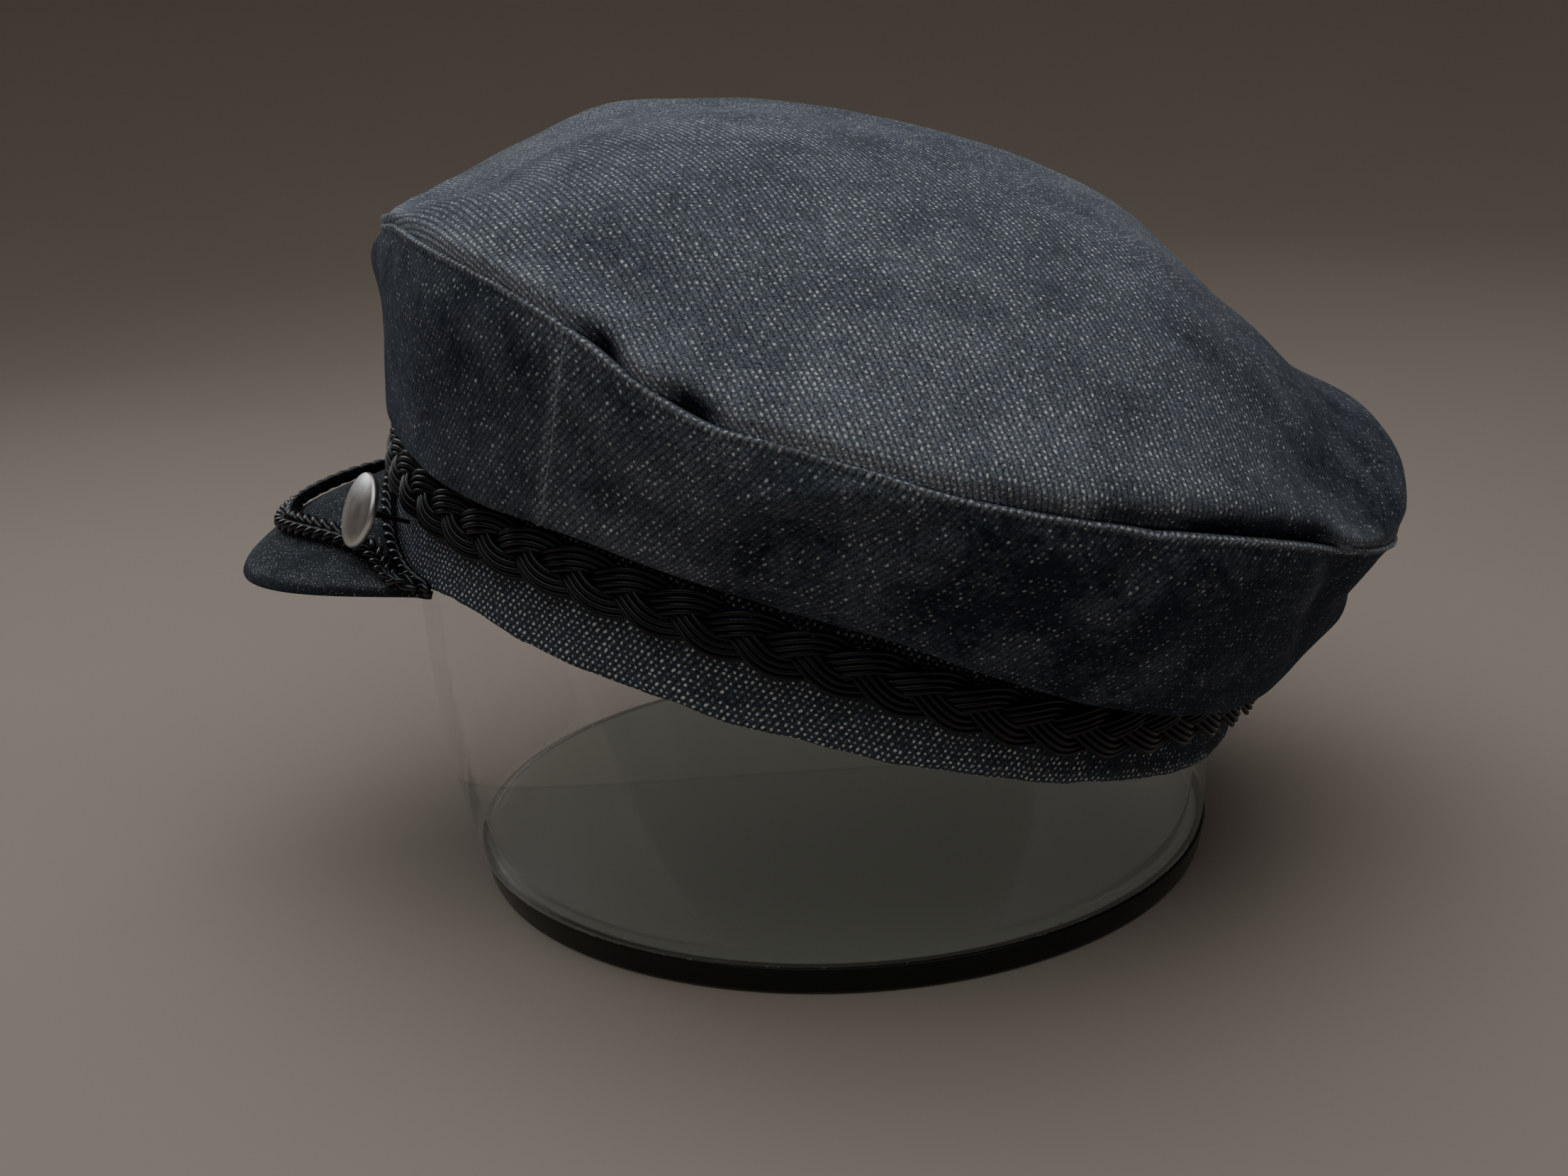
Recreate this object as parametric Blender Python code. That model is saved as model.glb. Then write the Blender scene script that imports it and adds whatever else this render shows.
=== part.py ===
"""A soft denim fisherman's cap sitting on a plain clear glass jar.

The cap is worked out in its own frame: the lower edge of the band lies in the plane z = 0,
the peak points along -Y and the wearer's left side is +X.  `on_stand` then tips the cap
back and sets it over the jar, whose base stands on the floor with its axis at x = y = 0.
A turn of 0 degrees is the middle of the front and 90 degrees the wearer's left side.
"""
import bpy
import bmesh
import numpy as np
from mathutils import Matrix

MM = 0.001
GAP = 0.3 * MM                      # air kept between two neighbouring pieces

# Glass stand
STAND_TALL = 122 * MM
STAND_WIDE = 176.6 * MM             # across its fullest part
STAND_FORWARD = 3 * MM              # its belly sits this far in front of its base
BASE_THICK = 6 * MM
GLASS = 3.2 * MM

# Band round the head
BAND_LONG = 195.5 * MM
BAND_WIDE = 188 * MM
BAND_TALL = 24 * MM
BAND_THICK = 2.6 * MM
FRONT_FLAT = 3.2 * MM              # the stiff front is this much flatter than an oval

# Crown: a top panel sewn to three side panels
CROWN_LONG = 228 * MM
CROWN_WIDE = 224 * MM
CROWN_BACK = 4.5 * MM               # the crown's middle lies this far behind the band's
SEAM_TALL = 60 * MM                 # mean height of the top seam above the band's lower edge
DOME_TALL = 45 * MM                 # rise of the top panel above that seam
CLOTH = 1.6 * MM

# Plaited cord round the band
PLAIT_WIDE = 11.4 * MM
PLAIT_THICK = 4.4 * MM
PLAIT_PITCH = 11.4 * MM

# Peak, its cords and the two buttons
PEAK_TURN = 36.5                    # degrees from the middle of the front to each corner
PEAK_DEEP = 26.5 * MM
PEAK_DROP = 24.1 * MM
PEAK_THICK = 3.0 * MM
PEAK_HANG = 6.0 * MM                # towards its corners the join drops this far
PEAK_RISE = 10.5 * MM               # and from there it climbs this far up the band at the front
PEAK_ARCH = 2.4 * MM
CORD_D = 3.0 * MM
LOOP_WIDE = 6.0 * MM                # the two cords of the loop side by side
LOOP_THICK = 3.0 * MM
BUTTON_D = 15.8 * MM
BUTTON_DEEP = 3.0 * MM
BUTTON_TURN = 24.0
BUTTON_TILT = 7.0                   # degrees that its face looks upward
BUTTON_UP = 7.8 * MM                # its middle above the band's lower edge
SHANK_D = 4.0 * MM
SHANK_LONG = 9.4 * MM

# How the cap sits on the stand
CAP_PITCH = 17.8                    # degrees, front up
CAP_ROLL = -1.1                     # degrees, the wearer's left side a little higher
CAP_FORWARD = 5.5 * MM
CAP_HEIGHT = 55.6 * MM              # height of the middle of the band's lower edge

# Stand wall, from the base up: share of STAND_TALL, radius as a share of half STAND_WIDE,
# set forward as a share of STAND_FORWARD
STAND_ROWS = (
    {"up": 0.00, "radius": 0.934, "forward": 0.0},
    {"up": 0.05, "radius": 0.948, "forward": 0.2},
    {"up": 0.16, "radius": 0.970, "forward": 0.5},
    {"up": 0.33, "radius": 0.990, "forward": 0.9},
    {"up": 0.49, "radius": 1.000, "forward": 1.0},
    {"up": 0.66, "radius": 0.996, "forward": 1.0},
    {"up": 0.78, "radius": 0.970, "forward": 0.7},
    {"up": 0.89, "radius": 0.918, "forward": 0.4},
    {"up": 0.97, "radius": 0.855, "forward": 0.3},
    {"up": 1.00, "radius": 0.805, "forward": 0.3},
)

# Top seam round the crown: turn in degrees, height and reach as shares of SEAM_TALL and
# of the crown's own oval
SEAM_ROWS = (
    {"turn": 0, "height": 0.98, "reach": 0.990},
    {"turn": 18, "height": 1.085, "reach": 0.990},
    {"turn": 33, "height": 1.115, "reach": 1.000},
    {"turn": 44, "height": 1.115, "reach": 1.000},
    {"turn": 54, "height": 1.072, "reach": 1.000},
    {"turn": 63, "height": 0.990, "reach": 1.000},
    {"turn": 69, "height": 0.955, "reach": 1.000},
    {"turn": 76, "height": 0.968, "reach": 1.000},
    {"turn": 90, "height": 0.955, "reach": 1.000},
    {"turn": 105, "height": 0.970, "reach": 1.000},
    {"turn": 124, "height": 0.990, "reach": 1.000},
    {"turn": 152, "height": 0.93, "reach": 0.987},
    {"turn": 180, "height": 0.90, "reach": 0.978},
    {"turn": 208, "height": 0.93, "reach": 0.987},
    {"turn": 236, "height": 0.98, "reach": 1.000},
    {"turn": 263, "height": 0.97, "reach": 1.000},
    {"turn": 288, "height": 0.99, "reach": 1.000},
    {"turn": 308, "height": 1.08, "reach": 1.000},
    {"turn": 326, "height": 1.13, "reach": 1.000},
    {"turn": 342, "height": 1.05, "reach": 0.990},
)

# Top panel from its middle to the seam: reach as a share of the seam's oval, rise as a share
# of DOME_TALL
DOME_ROWS = (
    {"reach": 0.00, "rise": 1.000},
    {"reach": 0.16, "rise": 0.990},
    {"reach": 0.32, "rise": 0.950},
    {"reach": 0.48, "rise": 0.870},
    {"reach": 0.62, "rise": 0.745},
    {"reach": 0.74, "rise": 0.600},
    {"reach": 0.84, "rise": 0.440},
    {"reach": 0.92, "rise": 0.280},
    {"reach": 0.980, "rise": 0.160},
    {"reach": 1.010, "rise": 0.070},
    {"reach": 1.000, "rise": 0.015},
)

# Side panels from the band up to the seam: up as a share of the panel's height, out as a
# share of the step from the band's oval to the seam's
SIDE_ROWS = (
    {"up": 0.000, "out": 0.02, "hang": 0.00},
    {"up": 0.000, "out": 0.18, "hang": 0.20},
    {"up": 0.005, "out": 0.38, "hang": 1.00},
    {"up": 0.050, "out": 0.46, "hang": 0.95},
    {"up": 0.180, "out": 0.56, "hang": 0.65},
    {"up": 0.360, "out": 0.70, "hang": 0.30},
    {"up": 0.560, "out": 0.86, "hang": 0.08},
    {"up": 0.760, "out": 1.01, "hang": 0.00},
    {"up": 0.900, "out": 1.06, "hang": 0.00},
    {"up": 1.000, "out": 1.00, "hang": 0.00},
)

# Round the cap, turn in degrees: height of the plait's middle and how far the cloth hangs below
# the band's top edge, as shares of BAND_TALL
ROUND_ROWS = (
    {"turn": 0, "plait": 0.730, "hang": 0.06},
    {"turn": 22, "plait": 0.685, "hang": 0.06},
    {"turn": 42, "plait": 0.680, "hang": 0.06},
    {"turn": 56, "plait": 0.740, "hang": -0.04},
    {"turn": 68, "plait": 0.755, "hang": -0.13},
    {"turn": 78, "plait": 0.740, "hang": -0.20},
    {"turn": 90, "plait": 0.710, "hang": -0.08},
    {"turn": 104, "plait": 0.610, "hang": 0.07},
    {"turn": 120, "plait": 0.520, "hang": 0.21},
    {"turn": 136, "plait": 0.590, "hang": 0.25},
    {"turn": 158, "plait": 0.630, "hang": 0.19},
    {"turn": 180, "plait": 0.650, "hang": 0.14},
    {"turn": 214, "plait": 0.620, "hang": 0.18},
    {"turn": 246, "plait": 0.660, "hang": 0.08},
    {"turn": 276, "plait": 0.700, "hang": -0.08},
    {"turn": 306, "plait": 0.720, "hang": 0.00},
    {"turn": 336, "plait": 0.685, "hang": 0.06},
)

# Folds and dents of the top panel, seen from above: middle (x, y), direction in degrees from
# +X, half length, half width and depth, lengths as shares of half CROWN_LONG
TOP_FOLDS = (
    {"x": 0.00, "y": 0.70, "heading": 0, "long": 0.50, "wide": 0.17, "deep": -0.042},
    {"x": 0.00, "y": 0.94, "heading": 0, "long": 0.46, "wide": 0.13, "deep": 0.079},
    {"x": 0.05, "y": 0.49, "heading": 0, "long": 0.30, "wide": 0.10, "deep": -0.027},
    {"x": -0.16, "y": 0.02, "heading": 90, "long": 0.33, "wide": 0.35, "deep": 0.018},
    {"x": -0.37, "y": -0.70, "heading": 0, "long": 0.25, "wide": 0.14, "deep": 0.030},
    {"x": 0.00, "y": -0.84, "heading": 0, "long": 0.46, "wide": 0.17, "deep": -0.055},
    {"x": 0.62, "y": 0.66, "heading": 122, "long": 0.18, "wide": 0.09, "deep": -0.030},
    {"x": 0.48, "y": -0.82, "heading": 48, "long": 0.16, "wide": 0.07, "deep": 0.030},
    {"x": 0.74, "y": -0.56, "heading": 55, "long": 0.16, "wide": 0.05, "deep": -0.022},
    {"x": 0.02, "y": -0.82, "heading": 78, "long": 0.13, "wide": 0.04, "deep": -0.025},
    {"x": -0.60, "y": -0.70, "heading": -50, "long": 0.18, "wide": 0.08, "deep": 0.026},
    {"x": -0.66, "y": 0.58, "heading": 52, "long": 0.24, "wide": 0.10, "deep": -0.028},
)

# Folds of the side panels: turn in degrees, up as a share of the panel's height, slope of the
# fold in degrees, half length, half width and depth as shares of SEAM_TALL
SIDE_FOLDS = (
    {"turn": 4, "up": 0.80, "slope": 4, "long": 0.36, "wide": 0.10, "deep": 0.030},
    {"turn": 78, "up": 0.74, "slope": 32, "long": 0.26, "wide": 0.06, "deep": 0.035},
    {"turn": 84, "up": 0.60, "slope": 30, "long": 0.26, "wide": 0.06, "deep": -0.040},
    {"turn": 110, "up": 0.84, "slope": 84, "long": 0.16, "wide": 0.06, "deep": -0.045},
    {"turn": 116, "up": 0.42, "slope": -12, "long": 0.48, "wide": 0.16, "deep": 0.045},
    {"turn": 142, "up": 0.62, "slope": -40, "long": 0.34, "wide": 0.09, "deep": -0.050},
    {"turn": 164, "up": 0.38, "slope": 12, "long": 0.26, "wide": 0.09, "deep": 0.040},
    {"turn": 168, "up": 0.74, "slope": 0, "long": 0.65, "wide": 0.18, "deep": -0.055},
    {"turn": 196, "up": 0.55, "slope": 35, "long": 0.32, "wide": 0.09, "deep": -0.045},
    {"turn": 240, "up": 0.40, "slope": 10, "long": 0.44, "wide": 0.14, "deep": 0.040},
    {"turn": 272, "up": 0.66, "slope": -30, "long": 0.30, "wide": 0.07, "deep": -0.040},
    {"turn": 322, "up": 0.50, "slope": 14, "long": 0.34, "wide": 0.12, "deep": 0.030},
)

# Side panels: name, first and last turn in degrees
PANELS = (
    {"name": "front_panel", "first": -53, "last": 53},
    {"name": "back_panel_left", "first": 53, "last": 180},
    {"name": "back_panel_right", "first": 180, "last": 307},
)

# Half of the double cord laid on the peak, from its tip to the corner: across as a share of
# the way from the middle to the corner, out as a share of the peak's depth there, wide as a
# share of LOOP_WIDE
LOOP_ROWS = (
    {"across": 0.00, "out": 0.69, "wide": 1.00},
    {"across": 0.14, "out": 0.68, "wide": 1.00},
    {"across": 0.27, "out": 0.61, "wide": 1.00},
    {"across": 0.37, "out": 0.535, "wide": 0.97},
    {"across": 0.47, "out": 0.44, "wide": 0.90},
    {"across": 0.56, "out": 0.36, "wide": 0.80},
    {"across": 0.65, "out": 0.31, "wide": 0.68},
    {"across": 0.73, "out": 0.38, "wide": 0.58},
    {"across": 0.80, "out": 0.55, "wide": 0.54},
    {"across": 0.87, "out": 0.78, "wide": 0.52},
)


def column(rows, name):
    """One named column of a table as an array."""
    return np.array([row[name] for row in rows], float)


def curve(x, xs, ys):
    """Smooth curve through the points (xs, ys), a Hermite cubic between each pair whose
    slopes come from the neighbouring points."""
    slope = np.gradient(ys, xs)
    k = np.clip(np.searchsorted(xs, x, side="right") - 1, 0, len(xs) - 2)
    step = xs[k + 1] - xs[k]
    s = np.clip((x - xs[k]) / step, 0, 1)
    return (ys[k] * (1 + 2 * s) * (1 - s) ** 2 + ys[k + 1] * s * s * (3 - 2 * s)
            + step * (slope[k] * s * (1 - s) ** 2 - slope[k + 1] * s * s * (1 - s)))


def round_curve(turn, rows, name):
    """The same curve through a table that runs once round the cap."""
    xs, ys = column(rows, "turn"), column(rows, name)
    xs = np.concatenate([xs[-2:] - 360, xs, xs[:2] + 360])
    ys = np.concatenate([ys[-2:], ys, ys[:2]])
    return curve(np.mod(turn, 360.0), xs, ys)


def oval(turn, long, wide, back=0.0):
    """x and y on an oval: x = wide/2 sin(turn), y = back - long/2 cos(turn)."""
    a = np.radians(turn)
    return wide / 2 * np.sin(a), back - long / 2 * np.cos(a)


def head(turn, off=0.0):
    """x and y on the band's own oval moved outward by `off`, flattened in front by
    FRONT_FLAT exp(-(turn/26)^2)."""
    x, y = oval(turn, BAND_LONG + 2 * off, BAND_WIDE + 2 * off)
    front = (np.asarray(turn) + 180.0) % 360.0 - 180.0
    return x, y + FRONT_FLAT * np.exp(-(front / 26.0) ** 2)


def folds(u, v, rows, centre_u, centre_v, heading):
    """Sum of soft ridges and dents, each deep * exp(-(along/long)^2 - (across/wide)^2)."""
    total = np.zeros_like(u)
    for row, cu, cv in zip(rows, centre_u, centre_v):
        a = np.radians(row[heading])
        du, dv = u - cu, v - cv
        along, across = du * np.cos(a) + dv * np.sin(a), dv * np.cos(a) - du * np.sin(a)
        total += row["deep"] * np.exp(-(along / row["long"]) ** 2 - (across / row["wide"]) ** 2)
    return total


def normals(grid, closed):
    """Unit normals of a grid of points, the cross product of its two directions; `closed`
    says that the second direction runs once round."""
    down = np.gradient(grid, axis=0)
    if closed:
        wide = np.concatenate([grid[:, -1:], grid, grid[:, :1]], axis=1)
        along = np.gradient(wide, axis=1)[:, 1:-1]
    else:
        along = np.gradient(grid, axis=1)
    n = np.cross(along, down)
    return n / np.maximum(np.linalg.norm(n, axis=2, keepdims=True), 1e-12)


def solid(name, material, points, faces, at=Matrix()):
    """One closed mesh object with its faces turned outward."""
    mesh = bpy.data.meshes.new(name)
    mesh.from_pydata([tuple(p) for p in points], [], faces)
    mesh.transform(at)
    mesh.materials.append(material)
    body = bmesh.new()
    body.from_mesh(mesh)
    bmesh.ops.remove_doubles(body, verts=body.verts, dist=1e-6)
    bmesh.ops.recalc_face_normals(body, faces=body.faces)
    body.to_mesh(mesh)
    body.free()
    piece = bpy.data.objects.new(name, mesh)
    bpy.context.scene.collection.objects.link(piece)
    return piece


def tube(name, material, sections, closed=False, at=Matrix()):
    """A solid through a row of equal rings of points, its ends joined or capped."""
    n, m = sections.shape[:2]
    index = np.arange(n * m).reshape(n, m)
    if closed:
        index = np.vstack([index, index[:1]])
    a, b = index[:-1], index[1:]
    quads = np.stack([a, np.roll(a, -1, 1), np.roll(b, -1, 1), b], -1).reshape(-1, 4).tolist()
    if not closed:
        quads += [index[0][::-1].tolist(), index[-1].tolist()]
    return solid(name, material, sections.reshape(-1, 3), quads, at)


def shell(name, material, outer, inner, at=Matrix()):
    """A cloth panel between two equal grids of points, joined along all four edges."""
    rows, cols = outer.shape[:2]
    front = np.arange(rows * cols).reshape(rows, cols)
    back = front + rows * cols
    ring = np.concatenate([front[0, :-1], front[:-1, -1], front[-1, :0:-1], front[:0:-1, 0]])
    rim = ring + rows * cols
    quads = [np.stack([g[:-1, :-1], g[:-1, 1:], g[1:, 1:], g[1:, :-1]], -1).reshape(-1, 4)
             for g in (front, back[:, ::-1])]
    quads.append(np.stack([ring, np.roll(ring, -1), np.roll(rim, -1), rim], -1))
    points = np.concatenate([outer.reshape(-1, 3), inner.reshape(-1, 3)])
    return solid(name, material, points, np.concatenate(quads).tolist(), at)


def paint(name, colour, rough, metal=0.0, clear=0.0):
    """A plain Principled material."""
    material = bpy.data.materials.new(name)
    material.use_nodes = True
    shader = material.node_tree.nodes["Principled BSDF"]
    shader.inputs["Base Color"].default_value = (*colour, 1.0)
    shader.inputs["Roughness"].default_value = rough
    shader.inputs["Metallic"].default_value = metal
    shader.inputs["Transmission Weight"].default_value = clear
    return material


def seam(turn):
    """Points of the crown's top seam."""
    x, y = oval(turn, CROWN_LONG, CROWN_WIDE, CROWN_BACK)
    reach = round_curve(turn, SEAM_ROWS, "reach")
    return np.stack([x * reach, CROWN_BACK + (y - CROWN_BACK) * reach,
                     SEAM_TALL * round_curve(turn, SEAM_ROWS, "height")], -1)


def top_surface(reach, turn):
    """Outer face of the top panel.  Height = seam height fading inward to SEAM_TALL, plus
    the dome, plus the folds."""
    edge = seam(turn)
    flat = curve(np.linspace(0, 1, 400), np.linspace(0, 1, len(DOME_ROWS)),
                 column(DOME_ROWS, "reach"))
    share = curve(reach, np.linspace(0, 1, len(DOME_ROWS)), column(DOME_ROWS, "reach"))
    rise = curve(reach, np.linspace(0, 1, len(DOME_ROWS)), column(DOME_ROWS, "rise"))
    share = np.clip(share, 0, flat.max())
    x = edge[..., 0] * share
    y = CROWN_BACK + (edge[..., 1] - CROWN_BACK) * share
    u, v = 2 * x / CROWN_LONG, 2 * (y - CROWN_BACK) / CROWN_LONG
    press = folds(u, v, TOP_FOLDS, column(TOP_FOLDS, "x"), column(TOP_FOLDS, "y"), "heading")
    fade = np.clip((1 - reach) / 0.18, 0, 1)
    z = (SEAM_TALL + (edge[..., 2] - SEAM_TALL) * share ** 2 + DOME_TALL * rise
         + CROWN_LONG / 2 * press * fade)
    return np.stack([x, y, z], -1)


def side_surface(up, turn):
    """Outer face of the side panels, from the band's top edge to the seam."""
    edge = seam(turn)
    bx, by = head(turn)
    low = BAND_TALL + GAP
    xs = np.linspace(0, 1, len(SIDE_ROWS))
    rise, out = curve(up, xs, column(SIDE_ROWS, "up")), curve(up, xs, column(SIDE_ROWS, "out"))
    around = np.radians(turn) * CROWN_LONG / 2 / SEAM_TALL
    middle = np.radians(column(SIDE_FOLDS, "turn")) * CROWN_LONG / 2 / SEAM_TALL
    span = (SEAM_TALL - BAND_TALL) / SEAM_TALL
    whole = 2 * np.pi * CROWN_LONG / 2 / SEAM_TALL
    press = sum(folds(around + k * whole, rise * span, SIDE_FOLDS, middle,
                      column(SIDE_FOLDS, "up") * span, "slope") for k in (0, 1))
    fade = np.clip(up / 0.25, 0, 1) * np.clip((1 - up) / 0.12, 0, 1)
    a = np.radians(turn)
    bulge = SEAM_TALL * press * fade
    hang = BAND_TALL * round_curve(turn, ROUND_ROWS, "hang") * curve(up, xs,
                                                                     column(SIDE_ROWS, "hang"))
    x = bx + (edge[..., 0] - bx) * out + bulge * np.sin(a)
    y = by + (edge[..., 1] - by) * out - bulge * np.cos(a)
    z = low + (edge[..., 2] - GAP - low) * rise - hang
    return np.stack([x, y, z], -1)


def peak_edge(across):
    """Inner and outer edge of the peak's upper face; across runs from -1 to 1."""
    turn = across * PEAK_TURN
    xi, yi = head(turn, GAP + 0.1 * MM)
    corner_x, corner_y = head(PEAK_TURN)
    a = across * np.pi / 2
    nose = np.abs(np.cos(a))
    xo = corner_x * (np.sin(a) - 0.10 * np.sin(2 * a))
    yo = corner_y - (BAND_LONG / 2 + PEAK_DEEP + corner_y) * nose
    zi = PEAK_THICK + PEAK_RISE * np.cos(a) ** 2 - PEAK_HANG * (1 - 0.4 * across ** 14)
    zo = PEAK_THICK - PEAK_DROP * nose - PEAK_HANG * 0.6 * (1 - nose) ** 3
    inner = np.stack([xi, yi, zi], -1)
    outer = np.stack([xo, yo, zo], -1)
    return inner, outer


def peak_surface(across, out):
    """Upper face of the peak: straight lines from the band to the outer edge, arched a
    little upward between them."""
    inner, outer = peak_edge(across)
    out = np.asarray(out)[..., None]
    arch = PEAK_ARCH * np.sin(np.pi * out ** 1.6) * np.cos(across * np.pi / 2)[..., None]
    return inner + (outer - inner) * out + arch * np.array([0.0, -0.4, 1.0])


def laid(across, out, lift):
    """Points standing `lift` above the peak's upper face, and the face's normals there."""
    small = 0.01
    face = peak_surface(across, out)
    n = np.cross(peak_surface(across + small, out) - face, peak_surface(across, out + small) - face)
    n /= np.linalg.norm(n, axis=-1, keepdims=True)
    n *= np.sign(n[:, 2:])
    return face + lift * n, n


def sweep(path, wide, tall, angles, closed, up, swell=1.0, bumps=1.0):
    """Rings of points along a path: ellipses of the given width and height with corners at
    `angles`, `up` the direction of their height."""
    if closed:
        ahead = np.roll(path, -1, 0) - np.roll(path, 1, 0)
    else:
        ahead = np.gradient(path, axis=0)
    ahead /= np.linalg.norm(ahead, axis=1, keepdims=True)
    side = np.cross(ahead, up)
    side /= np.linalg.norm(side, axis=1, keepdims=True)
    lift = np.cross(side, ahead)
    a = np.radians(angles)
    ring_w = wide / 2 * np.cos(a)[None, :] * swell
    ring_t = tall / 2 * np.sin(a)[None, :] * bumps
    return path[:, None] + ring_w[..., None] * side[:, None] + ring_t[..., None] * lift[:, None]


def on_stand():
    """The turn and shift that set the cap on the stand."""
    return (Matrix.Translation((0, -CAP_FORWARD, CAP_HEIGHT))
            @ Matrix.Rotation(np.radians(-CAP_PITCH), 4, "X")
            @ Matrix.Rotation(np.radians(CAP_ROLL), 4, "Y"))


def build_stand(glass, base_glass):
    """An open round-shouldered jar wall bonded to a thick round plate."""
    turns = np.radians(np.arange(0, 360, 9.0))
    up = column(STAND_ROWS, "up")
    foot = (BASE_THICK + GAP) / STAND_TALL

    def ring(share, inset):
        r = STAND_WIDE / 2 * curve(share, up, column(STAND_ROWS, "radius")) - inset
        forward = STAND_FORWARD * curve(share, up, column(STAND_ROWS, "forward"))
        return np.stack([r * np.sin(turns), -forward - r * np.cos(turns),
                         np.full_like(turns, STAND_TALL * share)], -1)

    shares = np.array([foot, 0.16, 0.33, 0.49, 0.66, 0.78, 0.89, 0.97])
    outside = [ring(s, 0) for s in shares]
    lip = [ring(1.0, 0), ring(1.0, GLASS * 0.5)]
    inside = [ring(s - 0.01 * (s > 0.8), GLASS) for s in shares[::-1]]
    rings = np.stack(outside + lip + inside, 1)
    tube("stand_wall", glass, rings, closed=True)

    edge = [ring(0.0, 0.8 * MM), ring(0.8 * MM / STAND_TALL, 0), ring(BASE_THICK / STAND_TALL, 0)]
    middle = np.array([[0, 0, 0.0], [0, 0, BASE_THICK]])
    points = np.concatenate(edge + [middle])
    n = len(turns)
    faces = []
    for k in range(n):
        j = (k + 1) % n
        faces += [(3 * n, j, k), (3 * n + 1, 2 * n + k, 2 * n + j)]
        faces += [(k, j, n + j, n + k), (n + k, n + j, 2 * n + j, 2 * n + k)]
    solid("stand_base", base_glass, points, faces)


def build_crown(denim, at):
    """The top panel and the three side panels."""
    turns = np.arange(0, 360, 6.0)
    steps = np.linspace(0, 1, 13)[1:]
    reach, turn = np.meshgrid(steps, turns, indexing="ij")
    outer = top_surface(reach, turn)
    inner = outer + CLOTH * normals(outer, closed=True)
    squeeze = 1 - CLOTH / (CROWN_LONG / 2)
    inner[-1] = outer[-1]
    inner[-1, :, 0] *= squeeze
    inner[-1, :, 1] = CROWN_BACK + (inner[-1, :, 1] - CROWN_BACK) * squeeze
    rows, cols = outer.shape[:2]
    top = top_surface(np.zeros(1), np.zeros(1))[0]
    points = np.concatenate([outer.reshape(-1, 3), inner.reshape(-1, 3), [top],
                             [top - np.array([0, 0, CLOTH])]])
    g, h = np.arange(rows * cols).reshape(rows, cols), rows * cols
    nxt = np.roll(g, -1, 1)
    faces = np.stack([g[:-1], g[1:], nxt[1:], nxt[:-1]], -1).reshape(-1, 4)
    back = np.stack([g[:-1], nxt[:-1], nxt[1:], g[1:]], -1).reshape(-1, 4) + h
    rim = np.stack([g[-1], g[-1] + h, nxt[-1] + h, nxt[-1]], -1)
    faces = np.concatenate([faces, back, rim]).tolist()
    faces += [(2 * h, g[0, k], nxt[0, k]) for k in range(cols)]
    faces += [(2 * h + 1, nxt[0, k] + h, g[0, k] + h) for k in range(cols)]
    solid("crown_top", denim, points, faces, at)

    for panel in PANELS:
        trim = np.degrees(GAP / 2 / (CROWN_LONG / 2))
        count = int(round((panel["last"] - panel["first"]) / 6.0)) + 1
        turns = np.linspace(panel["first"] + trim, panel["last"] - trim, count)
        up, turn = np.meshgrid(np.linspace(0, 1, 10), turns, indexing="ij")
        outer = side_surface(up, turn)
        a = np.radians(turns)
        inward = np.stack([-np.sin(a), np.cos(a), 0 * a], -1)
        n = normals(outer, closed=False)
        n[0], n[-1] = -inward, -inward
        for k in (0, -1):           # an end stays in one upright plane, so the gap there does too
            step = outer[-1, k] - outer[0, k]
            side = np.array([-step[1], step[0], 0.0]) / np.hypot(step[0], step[1])
            n[:, k] -= (n[:, k] @ side)[:, None] * side
        inner = outer - CLOTH * n
        shell(panel["name"], denim, outer, inner, at)


def build_band(denim, at):
    """The stiff band: a rounded strip swept round the head."""
    turns = np.arange(0, 360, 5.0)
    x, y = head(turns)
    ix, iy = head(turns, -BAND_THICK)
    soft = 0.7 * MM
    strip = ((0.3, 0.0), (0.0, soft), (0.0, BAND_TALL - soft), (0.3, BAND_TALL),
             (0.7, BAND_TALL), (1.0, BAND_TALL - soft), (1.0, soft), (0.7, 0.0))
    rings = np.stack([np.stack([x + (ix - x) * s, y + (iy - y) * s, np.full_like(x, z)], -1)
                      for s, z in strip], 1)
    tube("band", denim, rings, closed=True, at=at)


def build_plait(cord, at):
    """The flat plait round the band, one solid whose edges and face swell at each crossing."""
    length = np.pi * (BAND_LONG + BAND_WIDE) / 2
    crossings = int(round(length / PLAIT_PITCH))
    turns = np.arange(crossings * 2) * 180.0 / crossings
    x, y = head(turns, GAP + PLAIT_THICK / 2)
    path = np.stack([x, y, BAND_TALL * round_curve(turns, ROUND_ROWS, "plait")], -1)
    a = np.radians(turns)
    outward = np.stack([np.sin(a), -np.cos(a), 0 * a], -1)
    angles = np.array([0, 52, 128, 180, 232, 308])
    wave = np.where(np.arange(len(turns)) % 2, -1.0, 1.0)[:, None]
    swell = 0.98 + 0.04 * wave * np.sign(np.cos(np.radians(angles)))
    bumps = np.where(np.sin(np.radians(angles)) > 0.1, 0.95 + 0.08 * wave, 1.0)
    rings = sweep(path, PLAIT_WIDE, PLAIT_THICK, angles, True, outward, swell, bumps)
    tube("plait", cord, rings, closed=True, at=at)


def build_peak(denim, at):
    """The denim-covered peak: a stiff curved board."""
    across, out = np.meshgrid(np.linspace(-1, 1, 25), np.linspace(0, 1, 6), indexing="ij")
    across = across * 0.985
    outer = peak_surface(across, out)
    thick = (PEAK_THICK * (1 - 0.5 * across ** 4))[..., None] * np.array([0, 0, 1.0])
    inner = outer - thick
    inner[:, -1] += 0.25 * thick[:, -1]
    outer[:, -1] -= 0.25 * thick[:, -1]
    shell("peak", denim, outer, inner, at)


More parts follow.
